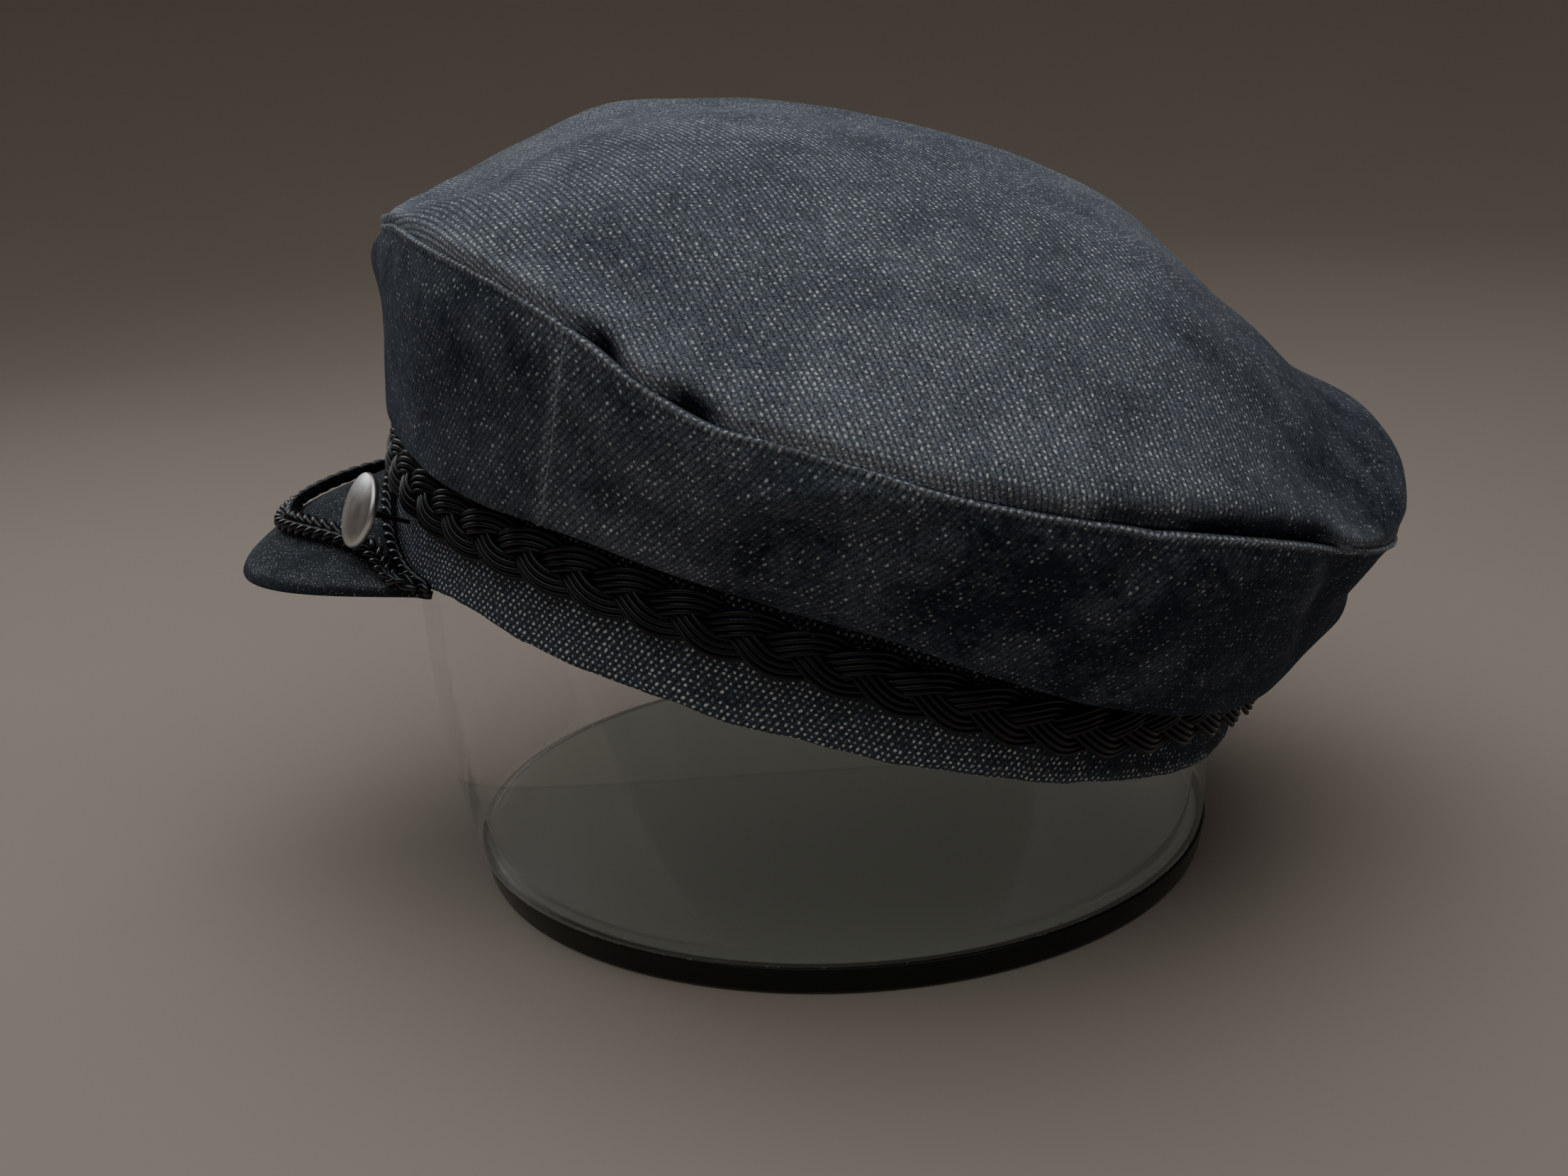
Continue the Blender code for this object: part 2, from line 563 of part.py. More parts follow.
def build_cords(cord, at):
    """The cord along the join of peak and band, and the double cord laid on the peak."""
    across = np.linspace(-0.93, 0.93, 41)
    inner, outer = peak_edge(across)
    depth = np.linalg.norm((outer - inner)[:, :2], axis=1)
    room = CORD_D / 2 + GAP
    lean = np.linalg.norm(laid(across, np.full(across.shape, 0.1), 0)[1][:, :2], axis=1)
    path, n = laid(across, room * (1 - lean) / depth, room)
    round_angles = np.arange(30, 390, 60)
    tube("front_cord", cord, sweep(path, CORD_D, CORD_D, round_angles, False, n), at=at)

    half = np.linspace(0, 1, 22)
    rows = np.linspace(0, 1, len(LOOP_ROWS))
    a, o, w = (curve(half, rows, column(LOOP_ROWS, name)) for name in ("across", "out", "wide"))
    a = np.concatenate([-a[:0:-1], a])
    o = np.concatenate([o[:0:-1], o])
    w = np.concatenate([w[:0:-1], w])
    path, n = laid(a, o, LOOP_THICK / 2 + GAP)
    flat_angles = np.array([0, 40, 90, 140, 180, 220, 270, 320])
    tube("peak_cord", cord, sweep(path, LOOP_WIDE, LOOP_THICK, flat_angles, False, n, w[:, None]),
         at=at)


def build_buttons(metal, at):
    """Two shallow domes standing on edge on short shanks over the ends of the peak's cords."""
    shank = SHANK_D / BUTTON_D
    rows = ((shank, -SHANK_LONG), (shank, 0.0), (0.70, 0.0), (0.98, 0.20 * BUTTON_DEEP),
            (1.0, 0.34 * BUTTON_DEEP), (0.90, 0.62 * BUTTON_DEEP), (0.62, 0.88 * BUTTON_DEEP),
            (0.28, 0.98 * BUTTON_DEEP))
    turns = np.radians(np.arange(0, 360, 20.0))
    r = np.array([row[0] for row in rows])[:, None] * BUTTON_D / 2
    z = np.array([row[1] for row in rows])[:, None]
    rings = np.stack([r * np.cos(turns), r * np.sin(turns), z + 0 * turns], -1)
    off = GAP + SHANK_LONG
    for side, name in ((1, "button_left"), (-1, "button_right")):
        x, y = head(side * BUTTON_TURN)
        place = (Matrix.Translation((x, y, BUTTON_UP))
                 @ Matrix.Rotation(np.radians(side * BUTTON_TURN), 4, "Z")
                 @ Matrix.Translation((0, -off, 0))
                 @ Matrix.Rotation(np.radians(90 - BUTTON_TILT), 4, "X"))
        tube(name, metal, rings, at=at @ place)


def main():
    for old in list(bpy.data.objects):
        bpy.data.objects.remove(old)
    denim = paint("denim", (0.035, 0.055, 0.105), 0.85)
    band_denim = paint("band_denim", (0.045, 0.065, 0.115), 0.85)
    peak_denim = paint("peak_denim", (0.030, 0.045, 0.085), 0.85)
    plait_cord = paint("plait_cord", (0.010, 0.010, 0.011), 0.5)
    twist_cord = paint("twist_cord", (0.012, 0.012, 0.012), 0.45)
    metal = paint("polished_metal", (0.80, 0.78, 0.75), 0.12, metal=1.0)
    glass = paint("clear_glass", (0.86, 0.92, 0.88), 0.03, clear=1.0)
    base_glass = paint("base_glass", (0.10, 0.16, 0.13), 0.05, clear=0.6)
    at = on_stand()
    build_stand(glass, base_glass)
    build_crown(denim, at)
    build_band(band_denim, at)
    build_plait(plait_cord, at)
    build_peak(peak_denim, at)
    build_cords(twist_cord, at)
    build_buttons(metal, at)


main()
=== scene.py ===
# %% [markdown]
# # A denim fisherman's cap on a glass stand
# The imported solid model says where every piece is. This lesson dresses it: finer cloth,
# real plaits and twisted cords, polished buttons and clear glass, then a camera and lights.

import bmesh
import bpy
import numpy as np
from mathutils import Matrix


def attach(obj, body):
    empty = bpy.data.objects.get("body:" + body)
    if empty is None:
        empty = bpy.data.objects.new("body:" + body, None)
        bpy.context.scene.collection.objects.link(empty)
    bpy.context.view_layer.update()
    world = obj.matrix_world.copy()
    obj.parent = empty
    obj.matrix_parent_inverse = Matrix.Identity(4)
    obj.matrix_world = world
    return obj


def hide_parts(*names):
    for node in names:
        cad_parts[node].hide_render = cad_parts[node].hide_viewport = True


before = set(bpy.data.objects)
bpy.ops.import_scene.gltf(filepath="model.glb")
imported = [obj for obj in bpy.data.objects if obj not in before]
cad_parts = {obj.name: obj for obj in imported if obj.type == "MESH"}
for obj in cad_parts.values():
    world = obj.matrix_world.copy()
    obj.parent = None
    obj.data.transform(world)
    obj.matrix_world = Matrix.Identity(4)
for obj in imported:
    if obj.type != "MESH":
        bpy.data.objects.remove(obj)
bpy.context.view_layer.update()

print("solid model:", sorted(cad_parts))

# %% [markdown]
# ## The cap's own frame
# The cap is worked out lying level: the lower edge of its band is the plane z = 0, the peak
# points along -Y and the wearer's left is +X. A turn of 0 degrees is the middle of the front
# and 90 degrees the wearer's left side. The sizes and short tables, here and in the cells that
# follow, are those of the solids.

# %% Sizes
MM = 0.001
GAP = 0.3 * MM

BAND_LONG, BAND_WIDE, BAND_TALL, BAND_THICK = 195.5 * MM, 188 * MM, 24 * MM, 2.6 * MM
FRONT_FLAT = 3.2 * MM
BAND_ROUND = np.pi * (BAND_LONG + BAND_WIDE) / 2
print(f"band {BAND_ROUND / MM:.0f} mm round")

# %% [markdown]
# ## Curves
# Cloth has no straight edges. A short table of points becomes a smooth curve: a
# cubic between each pair of rows, whose slopes come from the rows on either side.


# %% Smooth curves through short tables
def curve(x, xs, ys):
    """Hermite cubic: ys[k] (1+2s)(1-s)^2 + ys[k+1] s^2 (3-2s) + the two end slopes."""
    slope = np.gradient(ys, xs)
    k = np.clip(np.searchsorted(xs, x, side="right") - 1, 0, len(xs) - 2)
    step = xs[k + 1] - xs[k]
    s = np.clip((x - xs[k]) / step, 0, 1)
    return (ys[k] * (1 + 2 * s) * (1 - s) ** 2 + ys[k + 1] * s * s * (3 - 2 * s)
            + step * (slope[k] * s * (1 - s) ** 2 - slope[k + 1] * s * s * (1 - s)))


def row_curve(x, rows, column):
    """The same curve through one column, its rows equally spaced from 0 to 1."""
    return curve(x, np.linspace(0, 1, len(rows)), rows[:, column])


def round_curve(turn, rows, column):
    """The same curve through a table that runs once round the cap."""
    xs = np.concatenate([rows[-2:, 0] - 360, rows[:, 0], rows[:2, 0] + 360])
    ys = np.concatenate([rows[-2:, column], rows[:, column], rows[:2, column]])
    return curve(np.mod(turn, 360.0), xs, ys)


# Round the cap: turn, height of the plait's middle and hang of the cloth, in band heights.
ROUND_ROWS = np.array([
    (0, 0.730, 0.06), (22, 0.685, 0.06), (42, 0.680, 0.06), (56, 0.740, -0.04),
    (68, 0.755, -0.13), (78, 0.740, -0.20), (90, 0.710, -0.08), (104, 0.610, 0.07),
    (120, 0.520, 0.21), (136, 0.590, 0.25), (158, 0.630, 0.19), (180, 0.650, 0.14),
    (214, 0.620, 0.18), (246, 0.660, 0.08), (276, 0.700, -0.08), (306, 0.720, 0.00),
    (336, 0.685, 0.06)])

print("plait height at 120 degrees:", round(float(round_curve(120.0, ROUND_ROWS, 1)), 3))


# %% Ovals round the head
CAP_PITCH, CAP_ROLL, CAP_FORWARD, CAP_HEIGHT = 17.8, -1.1, 5.5 * MM, 55.6 * MM


def oval(turn, long, wide, back=0.0):
    """x = wide/2 sin(turn), y = back - long/2 cos(turn)."""
    a = np.radians(turn)
    return wide / 2 * np.sin(a), back - long / 2 * np.cos(a)


def head(turn, off=0.0):
    """The band's oval moved outward by `off`, its front flattened by a soft bell curve."""
    x, y = oval(turn, BAND_LONG + 2 * off, BAND_WIDE + 2 * off)
    front = (np.asarray(turn) + 180.0) % 360.0 - 180.0
    return x, y + FRONT_FLAT * np.exp(-(front / 26.0) ** 2)


def on_stand(points):
    """Points of the level cap, tipped back and set over the stand."""
    at = np.array(Matrix.Translation((0, -CAP_FORWARD, CAP_HEIGHT))
                  @ Matrix.Rotation(np.radians(-CAP_PITCH), 4, "X")
                  @ Matrix.Rotation(np.radians(CAP_ROLL), 4, "Y"))
    return points @ at[:3, :3].T + at[:3, 3]


cap_middle = on_stand(np.array([0, 0, 45 * MM]))
print("cap middle", cap_middle.round(4))

# %% [markdown]
# ## Random hills
# Worn cloth is never quite even. Random heights on a square net, joined by a smooth curve,
# give soft hills whose size is chosen by scaling the coordinates that go in.


# %% Smooth noise
def hills(u, v, seed, cells=96):
    """Random hills one unit across, from -1 to 1: heights at whole numbers, blended with
    s^2 (3 - 2s)."""
    net = np.random.default_rng(seed).uniform(-1, 1, (cells, cells))
    i, j = np.floor(u).astype(int), np.floor(v).astype(int)
    s, t = u - i, v - j
    s, t = s * s * (3 - 2 * s), t * t * (3 - 2 * t)
    i, j, k, m = i % cells, j % cells, (i + 1) % cells, (j + 1) % cells
    low = net[i, j] * (1 - s) + net[k, j] * s
    high = net[i, m] * (1 - s) + net[k, m] * s
    return low * (1 - t) + high * t


def bell(x, middle, wide):
    """exp(-((x - middle) / wide)^2)"""
    return np.exp(-((x - middle) / wide) ** 2)


def outward_at(turn):
    """Level unit vectors away from the head."""
    a = np.radians(turn)
    return np.stack([np.sin(a), -np.cos(a), 0 * a], -1)


def full_turn(steps):
    """Equal steps once round, in radians."""
    return np.linspace(0, 2 * np.pi, steps, endpoint=False)


print("hills:", hills(np.array([0.5, 1.5]), np.array([0.5, 0.5]), 1).round(2))

# %% [markdown]
# ## From a grid of points to a mesh
# Every new piece is one or more grids of points. The faces are all squares of the grid, so
# they are made as whole arrays. Grids that close on themselves wrap round, while their
# texture coordinates run on to the full length. The signed volume seen from a point inside
# says whether the faces look outward, and if not they are turned.


# %% Grids into meshes
def grid(points, uv, wear_and_painted_light=0.0, closed=(False, False)):
    """One grid: points (n, m, 3), uv in metres (one longer where it closes) and wear with painted
    light.
    """
    return {"points": points, "uv": uv, "closed": closed,
            "wear_and_painted_light": np.broadcast_to(wear_and_painted_light, points.shape[:2])}


def weld(name, grids, inside):
    """One mesh object from several grids, its doubles merged and its faces outward."""
    points, faces, uvs, start = [], [], [], 0
    for g in grids:
        n, m = g["points"].shape[:2]
        index = np.pad(start + np.arange(n * m).reshape(n, m),
                       ((0, int(g["closed"][0])), (0, int(g["closed"][1]))), mode="wrap")
        uv = g["uv"]
        faces.append(np.stack([index[:-1, :-1], index[:-1, 1:], index[1:, 1:], index[1:, :-1]],
                              -1).reshape(-1, 4))
        uvs.append(np.stack([uv[:-1, :-1], uv[:-1, 1:], uv[1:, 1:], uv[1:, :-1]],
                            2).reshape(-1, 4, 2))
        points.append(g["points"].reshape(-1, 3))
        p, f = g["points"].reshape(-1, 3) - inside, faces[-1] - start
        volume = (np.einsum("ij,ij->i", p[f[:, 0]], np.cross(p[f[:, 1]], p[f[:, 2]]))
                  + np.einsum("ij,ij->i", p[f[:, 0]], np.cross(p[f[:, 2]], p[f[:, 3]]))).sum()
        if volume < 0:
            faces[-1], uvs[-1] = faces[-1][:, ::-1], uvs[-1][:, ::-1]
        start += n * m
    mesh = bpy.data.meshes.new(name)
    mesh.from_pydata(np.concatenate(points).tolist(), [], np.concatenate(faces).tolist())
    mesh.uv_layers.new(name="cloth").data.foreach_set("uv", np.concatenate(uvs).ravel())
    wear_and_painted_light = np.concatenate([g["wear_and_painted_light"].ravel() for g in grids]).astype(np.float32)
    mesh.attributes.new("wear_and_painted_light", "FLOAT", "POINT").data.foreach_set("value", wear_and_painted_light)
    body = bmesh.new()
    body.from_mesh(mesh)
    bmesh.ops.remove_doubles(body, verts=body.verts, dist=1e-7)
    body.to_mesh(mesh)
    body.free()
    mesh.polygons.foreach_set("use_smooth", np.ones(len(mesh.polygons), bool))
    piece = bpy.data.objects.new(name, mesh)
    bpy.context.scene.collection.objects.link(piece)
    return piece


def dress(piece, material, nodes):
    """Gives a piece its material and lets it stand for its solid nodes."""
    piece.data.materials.append(material)
    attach(piece, "root")
    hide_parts(*nodes)
    print(f"{piece.name}: {len(piece.data.polygons)} faces")


# %% [markdown]
# ## Normals and lengths on a grid
# Creases and ridges are pushed in and out along the surface's own normal, and the weave is
# laid by arc length, so that it doesn't stretch where the cloth bulges.


# %% Normals and arc lengths
def normals(points, closed=False):
    """Unit normals: the cross product of the grid's two directions."""
    down = np.gradient(points, axis=0)
    if closed:
        wide = np.concatenate([points[:, -1:], points, points[:, :1]], axis=1)
        along = np.gradient(wide, axis=1)[:, 1:-1]
    else:
        along = np.gradient(points, axis=1)
    n = np.cross(along, down)
    return n / np.maximum(np.linalg.norm(n, axis=2, keepdims=True), 1e-12)


def arc(points, axis):
    """Distance walked along one axis of the grid, from its first row."""
    step = np.linalg.norm(np.diff(points, axis=axis), axis=-1)
    pad = [(1, 0) if k == axis else (0, 0) for k in range(step.ndim)]
    return np.pad(np.cumsum(step, axis=axis), pad)


def folds(u, v, rows, cu, cv):
    """Sum of soft folds, each depth exp(-(along/long)^2 - (across/wide)^2)."""
    total = np.zeros_like(u)
    for row, mu, mv in zip(rows, cu, cv):
        a = np.radians(row[2])
        du, dv = u - mu, v - mv
        along, across = du * np.cos(a) + dv * np.sin(a), dv * np.cos(a) - du * np.sin(a)
        total += row[5] * np.exp(-(along / row[3]) ** 2 - (across / row[4]) ** 2)
    return total


print("a walk of 3 across and 4 up:", arc(np.array([[0.0, 0, 0], [3, 4, 0]]), 0)[-1])

# %% [markdown]
# ## Shader maths
# A material is a network of nodes, but a formula is easier to read. This small class wraps a
# socket, so that `a * 2 + b` adds its two Math nodes, and one method adds any other node.


# %% Sockets that can do sums
class Socket:
    """A socket of a node tree that takes part in Python sums."""

    def __init__(self, tree, socket):
        self.tree, self.socket = tree, socket

    def maths(self, operation, *values, clamp=False):
        """One Math node, its first value this socket."""
        return self.node("ShaderNodeMath", {"operation": operation, "use_clamp": clamp},
                         dict(enumerate((self,) + values)))

    def node(self, kind, settings, inputs, out=0):
        """Any other node: its settings first, then the values or links of its sockets."""
        made = self.tree.nodes.new(kind)
        for key, value in settings.items():
            setattr(made, key, value)
        for key, value in inputs.items():
            if isinstance(value, Socket):
                self.tree.links.new(value.socket, made.inputs[key])
            else:
                made.inputs[key].default_value = value
        return Socket(self.tree, made.outputs[out])

    def __add__(self, other): return self.maths("ADD", other)
    def __sub__(self, other): return self.maths("SUBTRACT", other)
    def __mul__(self, other): return self.maths("MULTIPLY", other)
    def __truediv__(self, other): return self.maths("DIVIDE", other)
    def __pow__(self, other): return self.maths("POWER", other)
    def __radd__(self, other): return self.maths("ADD", other)
    def __rmul__(self, other): return self.maths("MULTIPLY", other)

    def __rsub__(self, other):
        return self.maths("MULTIPLY_ADD", -1.0, other)

    def floor(self): return self.maths("FLOOR")
    def fraction(self): return self.maths("FRACT")
    def sine(self): return self.maths("SINE")
    def clamp(self): return self.maths("MULTIPLY", 1.0, clamp=True)

    def step(self, low, high):
        """0 below low, 1 above high, smooth between."""
        return self.node("ShaderNodeMapRange", {"interpolation_type": "SMOOTHSTEP"},
                         {0: self, 1: low, 2: high, 3: 0.0, 4: 1.0})

    def mix(self, low, high):
        """A colour between two colours, by this factor."""
        return self.node("ShaderNodeMix", {"data_type": "RGBA"}, {0: self, 6: low, 7: high}, 2)

    def noise(self, scale, detail, rough=0.5):
        """Soft random clouds over this position, `scale` of them to a unit."""
        return self.node("ShaderNodeTexNoise", {}, {"Vector": self, "Scale": scale,
                                                    "Detail": detail, "Roughness": rough})

    def bump(self, strength, distance):
        """Normals tilted as if the surface had this height."""
        return self.node("ShaderNodeBump", {}, {"Strength": strength, "Distance": distance,
                                                "Height": self})


def finish(name, **constants):
    """A new material and its Principled shader, with constants set on its own sockets."""
    material = bpy.data.materials.new(name)
    material.use_nodes = True
    shader = material.node_tree.nodes["Principled BSDF"]
    for socket, value in constants.items():
        shader.inputs[socket.replace("_", " ")].default_value = value
    start = Socket(material.node_tree, None)

    def put(socket, value):
        material.node_tree.links.new(value.socket, shader.inputs[socket])

    return material, start, put


def spread(start):
    """The two coordinates of a piece's own map, in millimetres."""
    uv = start.node("ShaderNodeUVMap", {"uv_map": "cloth"}, {})
    parts = start.node("ShaderNodeSeparateXYZ", {}, {0: uv})
    x, y = parts, Socket(parts.tree, parts.socket.node.outputs[1])
    return x * 1000.0, y * 1000.0


def vector(x, y):
    """Two values as one vector."""
    return x.node("ShaderNodeCombineXYZ", {}, {0: x, 1: y, 2: 0.0})


def in_object(start):
    """The piece's own coordinates, in metres."""
    return start.node("ShaderNodeTexCoord", {}, {}, 3)


# %% [markdown]
# ## Denim
# Denim is woven from indigo warp and white weft. The weft shows as pale specks, each where it
# passes over a warp, in rows that step sideways and so make the twill's diagonals. Here a
# speck is a small oval in each cell of a sheared net. Every speck has a random strength, and
# the wear set on the mesh, with painted light and shade mixed in, decides how many of them are
# bright.


# %% Denim
SPECK_PITCH, SPECK_ROW, SPECK_SHIFT = 1.46, 1.10, 0.44      # millimetres, and a share


def denim(name, dark, blue, pale, fresh, smoke, finer=1.0):
    """Denim: warp colour, the bluer haze brought out by wear and painted light, weft colour, how
    much weft shows where the mesh adds neither, how strong the haze is, and how much finer the
    weave."""
    material, start, put = finish(name, Roughness=0.9, Sheen_Weight=0.12, Sheen_Roughness=0.45,
                                  Sheen_Tint=(0.62, 0.76, 1.0, 1), Specular_IOR_Level=0.15)
    x, y = spread(start)
    x, y = x * finer, y * finer
    place = vector(x, y)
    # The sheared net, made wavy by noise, and one random number for each of its cells.
    sway, shake = place.noise(0.07, 3.0), place.noise(0.55, 2.0)
    row = y / SPECK_ROW + sway * 3.0 + shake * 0.9
    along = x / SPECK_PITCH - row * SPECK_SHIFT + sway * 1.4 + shake * 0.5
    chance = start.node("ShaderNodeTexWhiteNoise", {"noise_dimensions": "2D"},
                        {"Vector": vector(along.floor(), row.floor())})
    # The place inside the cell, measured from a speck that sits a little off its middle.
    sy = row.fraction() - 0.5
    sx = along.fraction() - 0.5 + sy * SPECK_SHIFT - ((chance * 7.31).fraction() - 0.5) * 0.30
    sy = sy - ((chance * 3.77).fraction() - 0.5) * 0.26
    speck = (1.0 - (sx * sx) * 14.0 - (sy * sy) * 8.0 - (chance * 9.13).fraction() * 0.3).clamp()
    line = (1.0 - (along.fraction() - 0.5).maths("ABSOLUTE") * 2.0).step(0.05, 0.55)
    # Wear and painted light from the mesh, with clouds. A speck is bright where its number and
    # this sum are high.
    wear_and_painted_light = start.node("ShaderNodeAttribute", {"attribute_name": "wear_and_painted_light"}, {}, 2)
    cloud, fine = place.noise(0.05, 4.0, 0.65), place.noise(0.5, 2.0)
    lint = place.noise(1.9, 4.0, 0.7)
    wear_and_light = (wear_and_painted_light + (cloud - 0.5) * 0.7 + (fine - 0.5) * 0.5 + fresh).clamp()
    strength = (chance ** 4.0) * 0.42 + (chance * 1.1 + wear_and_light * 1.5 - 1.05).clamp() * 0.95
    white = (speck.step(0.05, 0.75) * strength).clamp()
    haze = ((lint - 0.33) * 2.8).clamp() * (line * 0.5 + 0.5) * (wear_and_light * 1.4 + 0.04) * smoke
    # The warp's own uneven blue, in streaks along its threads.
    streak = vector(x * 2.4, y * 0.2).noise(1.0, 2.0)
    shade = (streak * 0.9 + cloud * 0.6 + fine * 0.5 - 0.6).clamp()
    warp = shade.mix((*[c * 0.45 for c in dark], 1), (*[c * 1.8 for c in dark], 1))
    put("Base Color", white.mix(haze.clamp().mix(warp, (*blue, 1)), (*pale, 1)))
    put("Normal", (speck * 0.8 + streak * 0.3 + lint * 0.5).bump(0.6, 0.25 * MM))
    return material


crown_denim = denim("crown_denim", (0.012, 0.021, 0.038), (0.46, 0.53, 0.62),
                    (0.90, 0.95, 1.00), 0.24, 1.0)
band_denim = denim("band_denim", (0.014, 0.023, 0.038), (0.32, 0.40, 0.50),
                   (0.96, 0.99, 1.00), 0.50, 0.36)
peak_denim = denim("peak_denim", (0.017, 0.024, 0.033), (0.30, 0.34, 0.38),
                   (0.88, 0.93, 0.97), 0.20, 0.6, 1.6)
print("denim specks every", SPECK_PITCH, "by", SPECK_ROW, "mm")

# %% [markdown]
# ## The crown's top panel
# A round of denim, sewn to the side panels and pushed up into a soft dome. Its height is the
# seam's height fading inward, plus the dome, plus the folds. Then come the small things: the
# cloth lies full against the seam, except in a few places where it sags and leaves a crease.


# %% Sizes of the crown
CROWN_LONG, CROWN_WIDE, CROWN_BACK = 228 * MM, 224 * MM, 4.5 * MM
SEAM_TALL, DOME_TALL, CLOTH = 60 * MM, 45 * MM, 1.6 * MM

# Top seam: turn, height as a share of SEAM_TALL, reach as a share of the crown's oval.
SEAM_ROWS = np.array([
    (0, 0.98, 0.990), (18, 1.085, 0.990), (33, 1.115, 1.000), (44, 1.115, 1.000),
    (54, 1.072, 1.000), (63, 0.990, 1.000), (69, 0.955, 1.000), (76, 0.968, 1.000),
    (90, 0.955, 1.000), (105, 0.970, 1.000), (124, 0.990, 1.000), (152, 0.93, 0.987),
    (180, 0.90, 0.978), (208, 0.93, 0.987), (236, 0.98, 1.000), (263, 0.97, 1.000),
    (288, 0.99, 1.000), (308, 1.08, 1.000), (326, 1.13, 1.000), (342, 1.05, 0.990)])

# Top panel from its middle outward: reach, and rise as a share of DOME_TALL.
DOME_ROWS = np.array([
    (0.00, 1.000), (0.16, 0.990), (0.32, 0.950), (0.48, 0.870), (0.62, 0.745), (0.74, 0.600),
    (0.84, 0.440), (0.92, 0.280), (0.980, 0.160), (1.010, 0.070), (1.000, 0.015)])

# Side panels from the band up: up, out and how much of the hang each row takes.
SIDE_ROWS = np.array([
    (0.000, 0.02, 0.00), (0.000, 0.18, 0.20), (0.005, 0.38, 1.00), (0.050, 0.46, 0.95),
    (0.180, 0.56, 0.65), (0.360, 0.70, 0.30), (0.560, 0.86, 0.08), (0.760, 1.01, 0.00),
    (0.900, 1.06, 0.00), (1.000, 1.00, 0.00)])

# Folds: middle (across, up), direction in degrees, half length, half width and depth. Those
# of the top panel are in halves of CROWN_LONG, those of the sides in degrees and SEAM_TALL.
TOP_FOLDS = np.array([
    (0.00, 0.70, 0, 0.50, 0.17, -0.042), (0.00, 0.94, 0, 0.46, 0.13, 0.079),
    (0.05, 0.49, 0, 0.30, 0.10, -0.027), (-0.16, 0.02, 90, 0.33, 0.35, 0.018),
    (-0.37, -0.70, 0, 0.25, 0.14, 0.030),
    (0.00, -0.84, 0, 0.46, 0.17, -0.055), (0.62, 0.66, 122, 0.18, 0.09, -0.030),
    (0.48, -0.82, 48, 0.16, 0.07, 0.030), (0.74, -0.56, 55, 0.16, 0.05, -0.022),
    (0.02, -0.82, 78, 0.13, 0.04, -0.025), (-0.60, -0.70, -50, 0.18, 0.08, 0.026),
    (-0.66, 0.58, 52, 0.24, 0.10, -0.028)])
SIDE_FOLDS = np.array([
    (4, 0.80, 4, 0.36, 0.10, 0.030), (78, 0.74, 32, 0.26, 0.06, 0.035),
    (84, 0.60, 30, 0.26, 0.06, -0.040), (110, 0.84, 84, 0.16, 0.06, -0.045),
    (116, 0.42, -12, 0.48, 0.16, 0.045), (142, 0.62, -40, 0.34, 0.09, -0.050),
    (164, 0.38, 12, 0.26, 0.09, 0.040), (168, 0.74, 0, 0.65, 0.18, -0.055),
    (196, 0.55, 35, 0.32, 0.09, -0.045), (240, 0.40, 10, 0.44, 0.14, 0.040),
    (272, 0.66, -30, 0.30, 0.07, -0.040), (322, 0.50, 14, 0.34, 0.12, 0.030)])

print("crown", CROWN_LONG, "by", CROWN_WIDE, "m")


# %% Crown surfaces
def seam(turn):
    """Points of the top seam: the crown's oval times its reach, at its height."""
    x, y = oval(turn, CROWN_LONG, CROWN_WIDE, CROWN_BACK)
    reach = round_curve(turn, SEAM_ROWS, 2)
    return np.stack([x * reach, CROWN_BACK + (y - CROWN_BACK) * reach,
                     SEAM_TALL * round_curve(turn, SEAM_ROWS, 1)], -1)


def top_surface(reach, turn):
    """Seam height fading inward with the square of the share, plus dome, plus folds."""
    edge = seam(turn)
    share = row_curve(reach, DOME_ROWS, 0)
    rise = row_curve(reach, DOME_ROWS, 1)
    x, y = edge[..., 0] * share, CROWN_BACK + (edge[..., 1] - CROWN_BACK) * share
    u, v = 2 * x / CROWN_LONG, 2 * (y - CROWN_BACK) / CROWN_LONG
    press = folds(u, v, TOP_FOLDS, TOP_FOLDS[:, 0], TOP_FOLDS[:, 1])
    z = (SEAM_TALL + (edge[..., 2] - SEAM_TALL) * share ** 2 + DOME_TALL * rise
         + CROWN_LONG / 2 * press * np.clip((1 - reach) / 0.18, 0, 1))
    return np.stack([x, y, z], -1)


def side_surface(up, turn):
    """From the band's oval out to the seam's, over the hanging lower edge, plus folds."""
    edge = seam(turn)
    bx, by = head(turn)
    low = BAND_TALL + GAP
    rise, out, share = (row_curve(up, SIDE_ROWS, k) for k in (0, 1, 2))
    size = CROWN_LONG / 2 / SEAM_TALL
    span = (SEAM_TALL - BAND_TALL) / SEAM_TALL
    a = np.radians(turn)
    press = sum(folds((a + k * 2 * np.pi) * size, rise * span, SIDE_FOLDS,
                      np.radians(SIDE_FOLDS[:, 0]) * size, SIDE_FOLDS[:, 1] * span)
                for k in (0, 1))
    bulge = SEAM_TALL * press * np.clip(up / 0.25, 0, 1) * np.clip((1 - up) / 0.12, 0, 1)
    hang = BAND_TALL * round_curve(turn, ROUND_ROWS, 2) * share
    x = bx + (edge[..., 0] - bx) * out + bulge * np.sin(a)
    y = by + (edge[..., 1] - by) * out - bulge * np.cos(a)
    z = low + (edge[..., 2] - GAP - low) * rise - hang
    return np.stack([x, y, z], -1)


print("middle of the top:", top_surface(np.array(0.0), np.array(0.0)).round(4))


# %% Creases at the top seam
CREASES = np.array([(57, 2.6, 1.0), (67, 3.0, 1.0), (97, 8.0, 0.4), (108, 5.0, 0.5),
                    (117, 5.0, 0.9), (128, 6.0, 1.0), (201, 4.0, 0.9), (233, 6.0, 0.8),
                    (262, 5.0, 1.0), (291, 4.0, 0.8), (314, 4.0, 1.0), (345, 3.0, 0.8)])


def crease(turn):
    """How far the cloth sags at the seam, 0 to 1: one bell curve for each row of CREASES,
    which holds its turn, half width and depth."""
    gap = (turn[..., None] - CREASES[:, 0] + 180) % 360 - 180
    return (CREASES[:, 2] * np.exp(-(gap / CREASES[:, 1]) ** 2)).sum(-1).clip(0, 1)


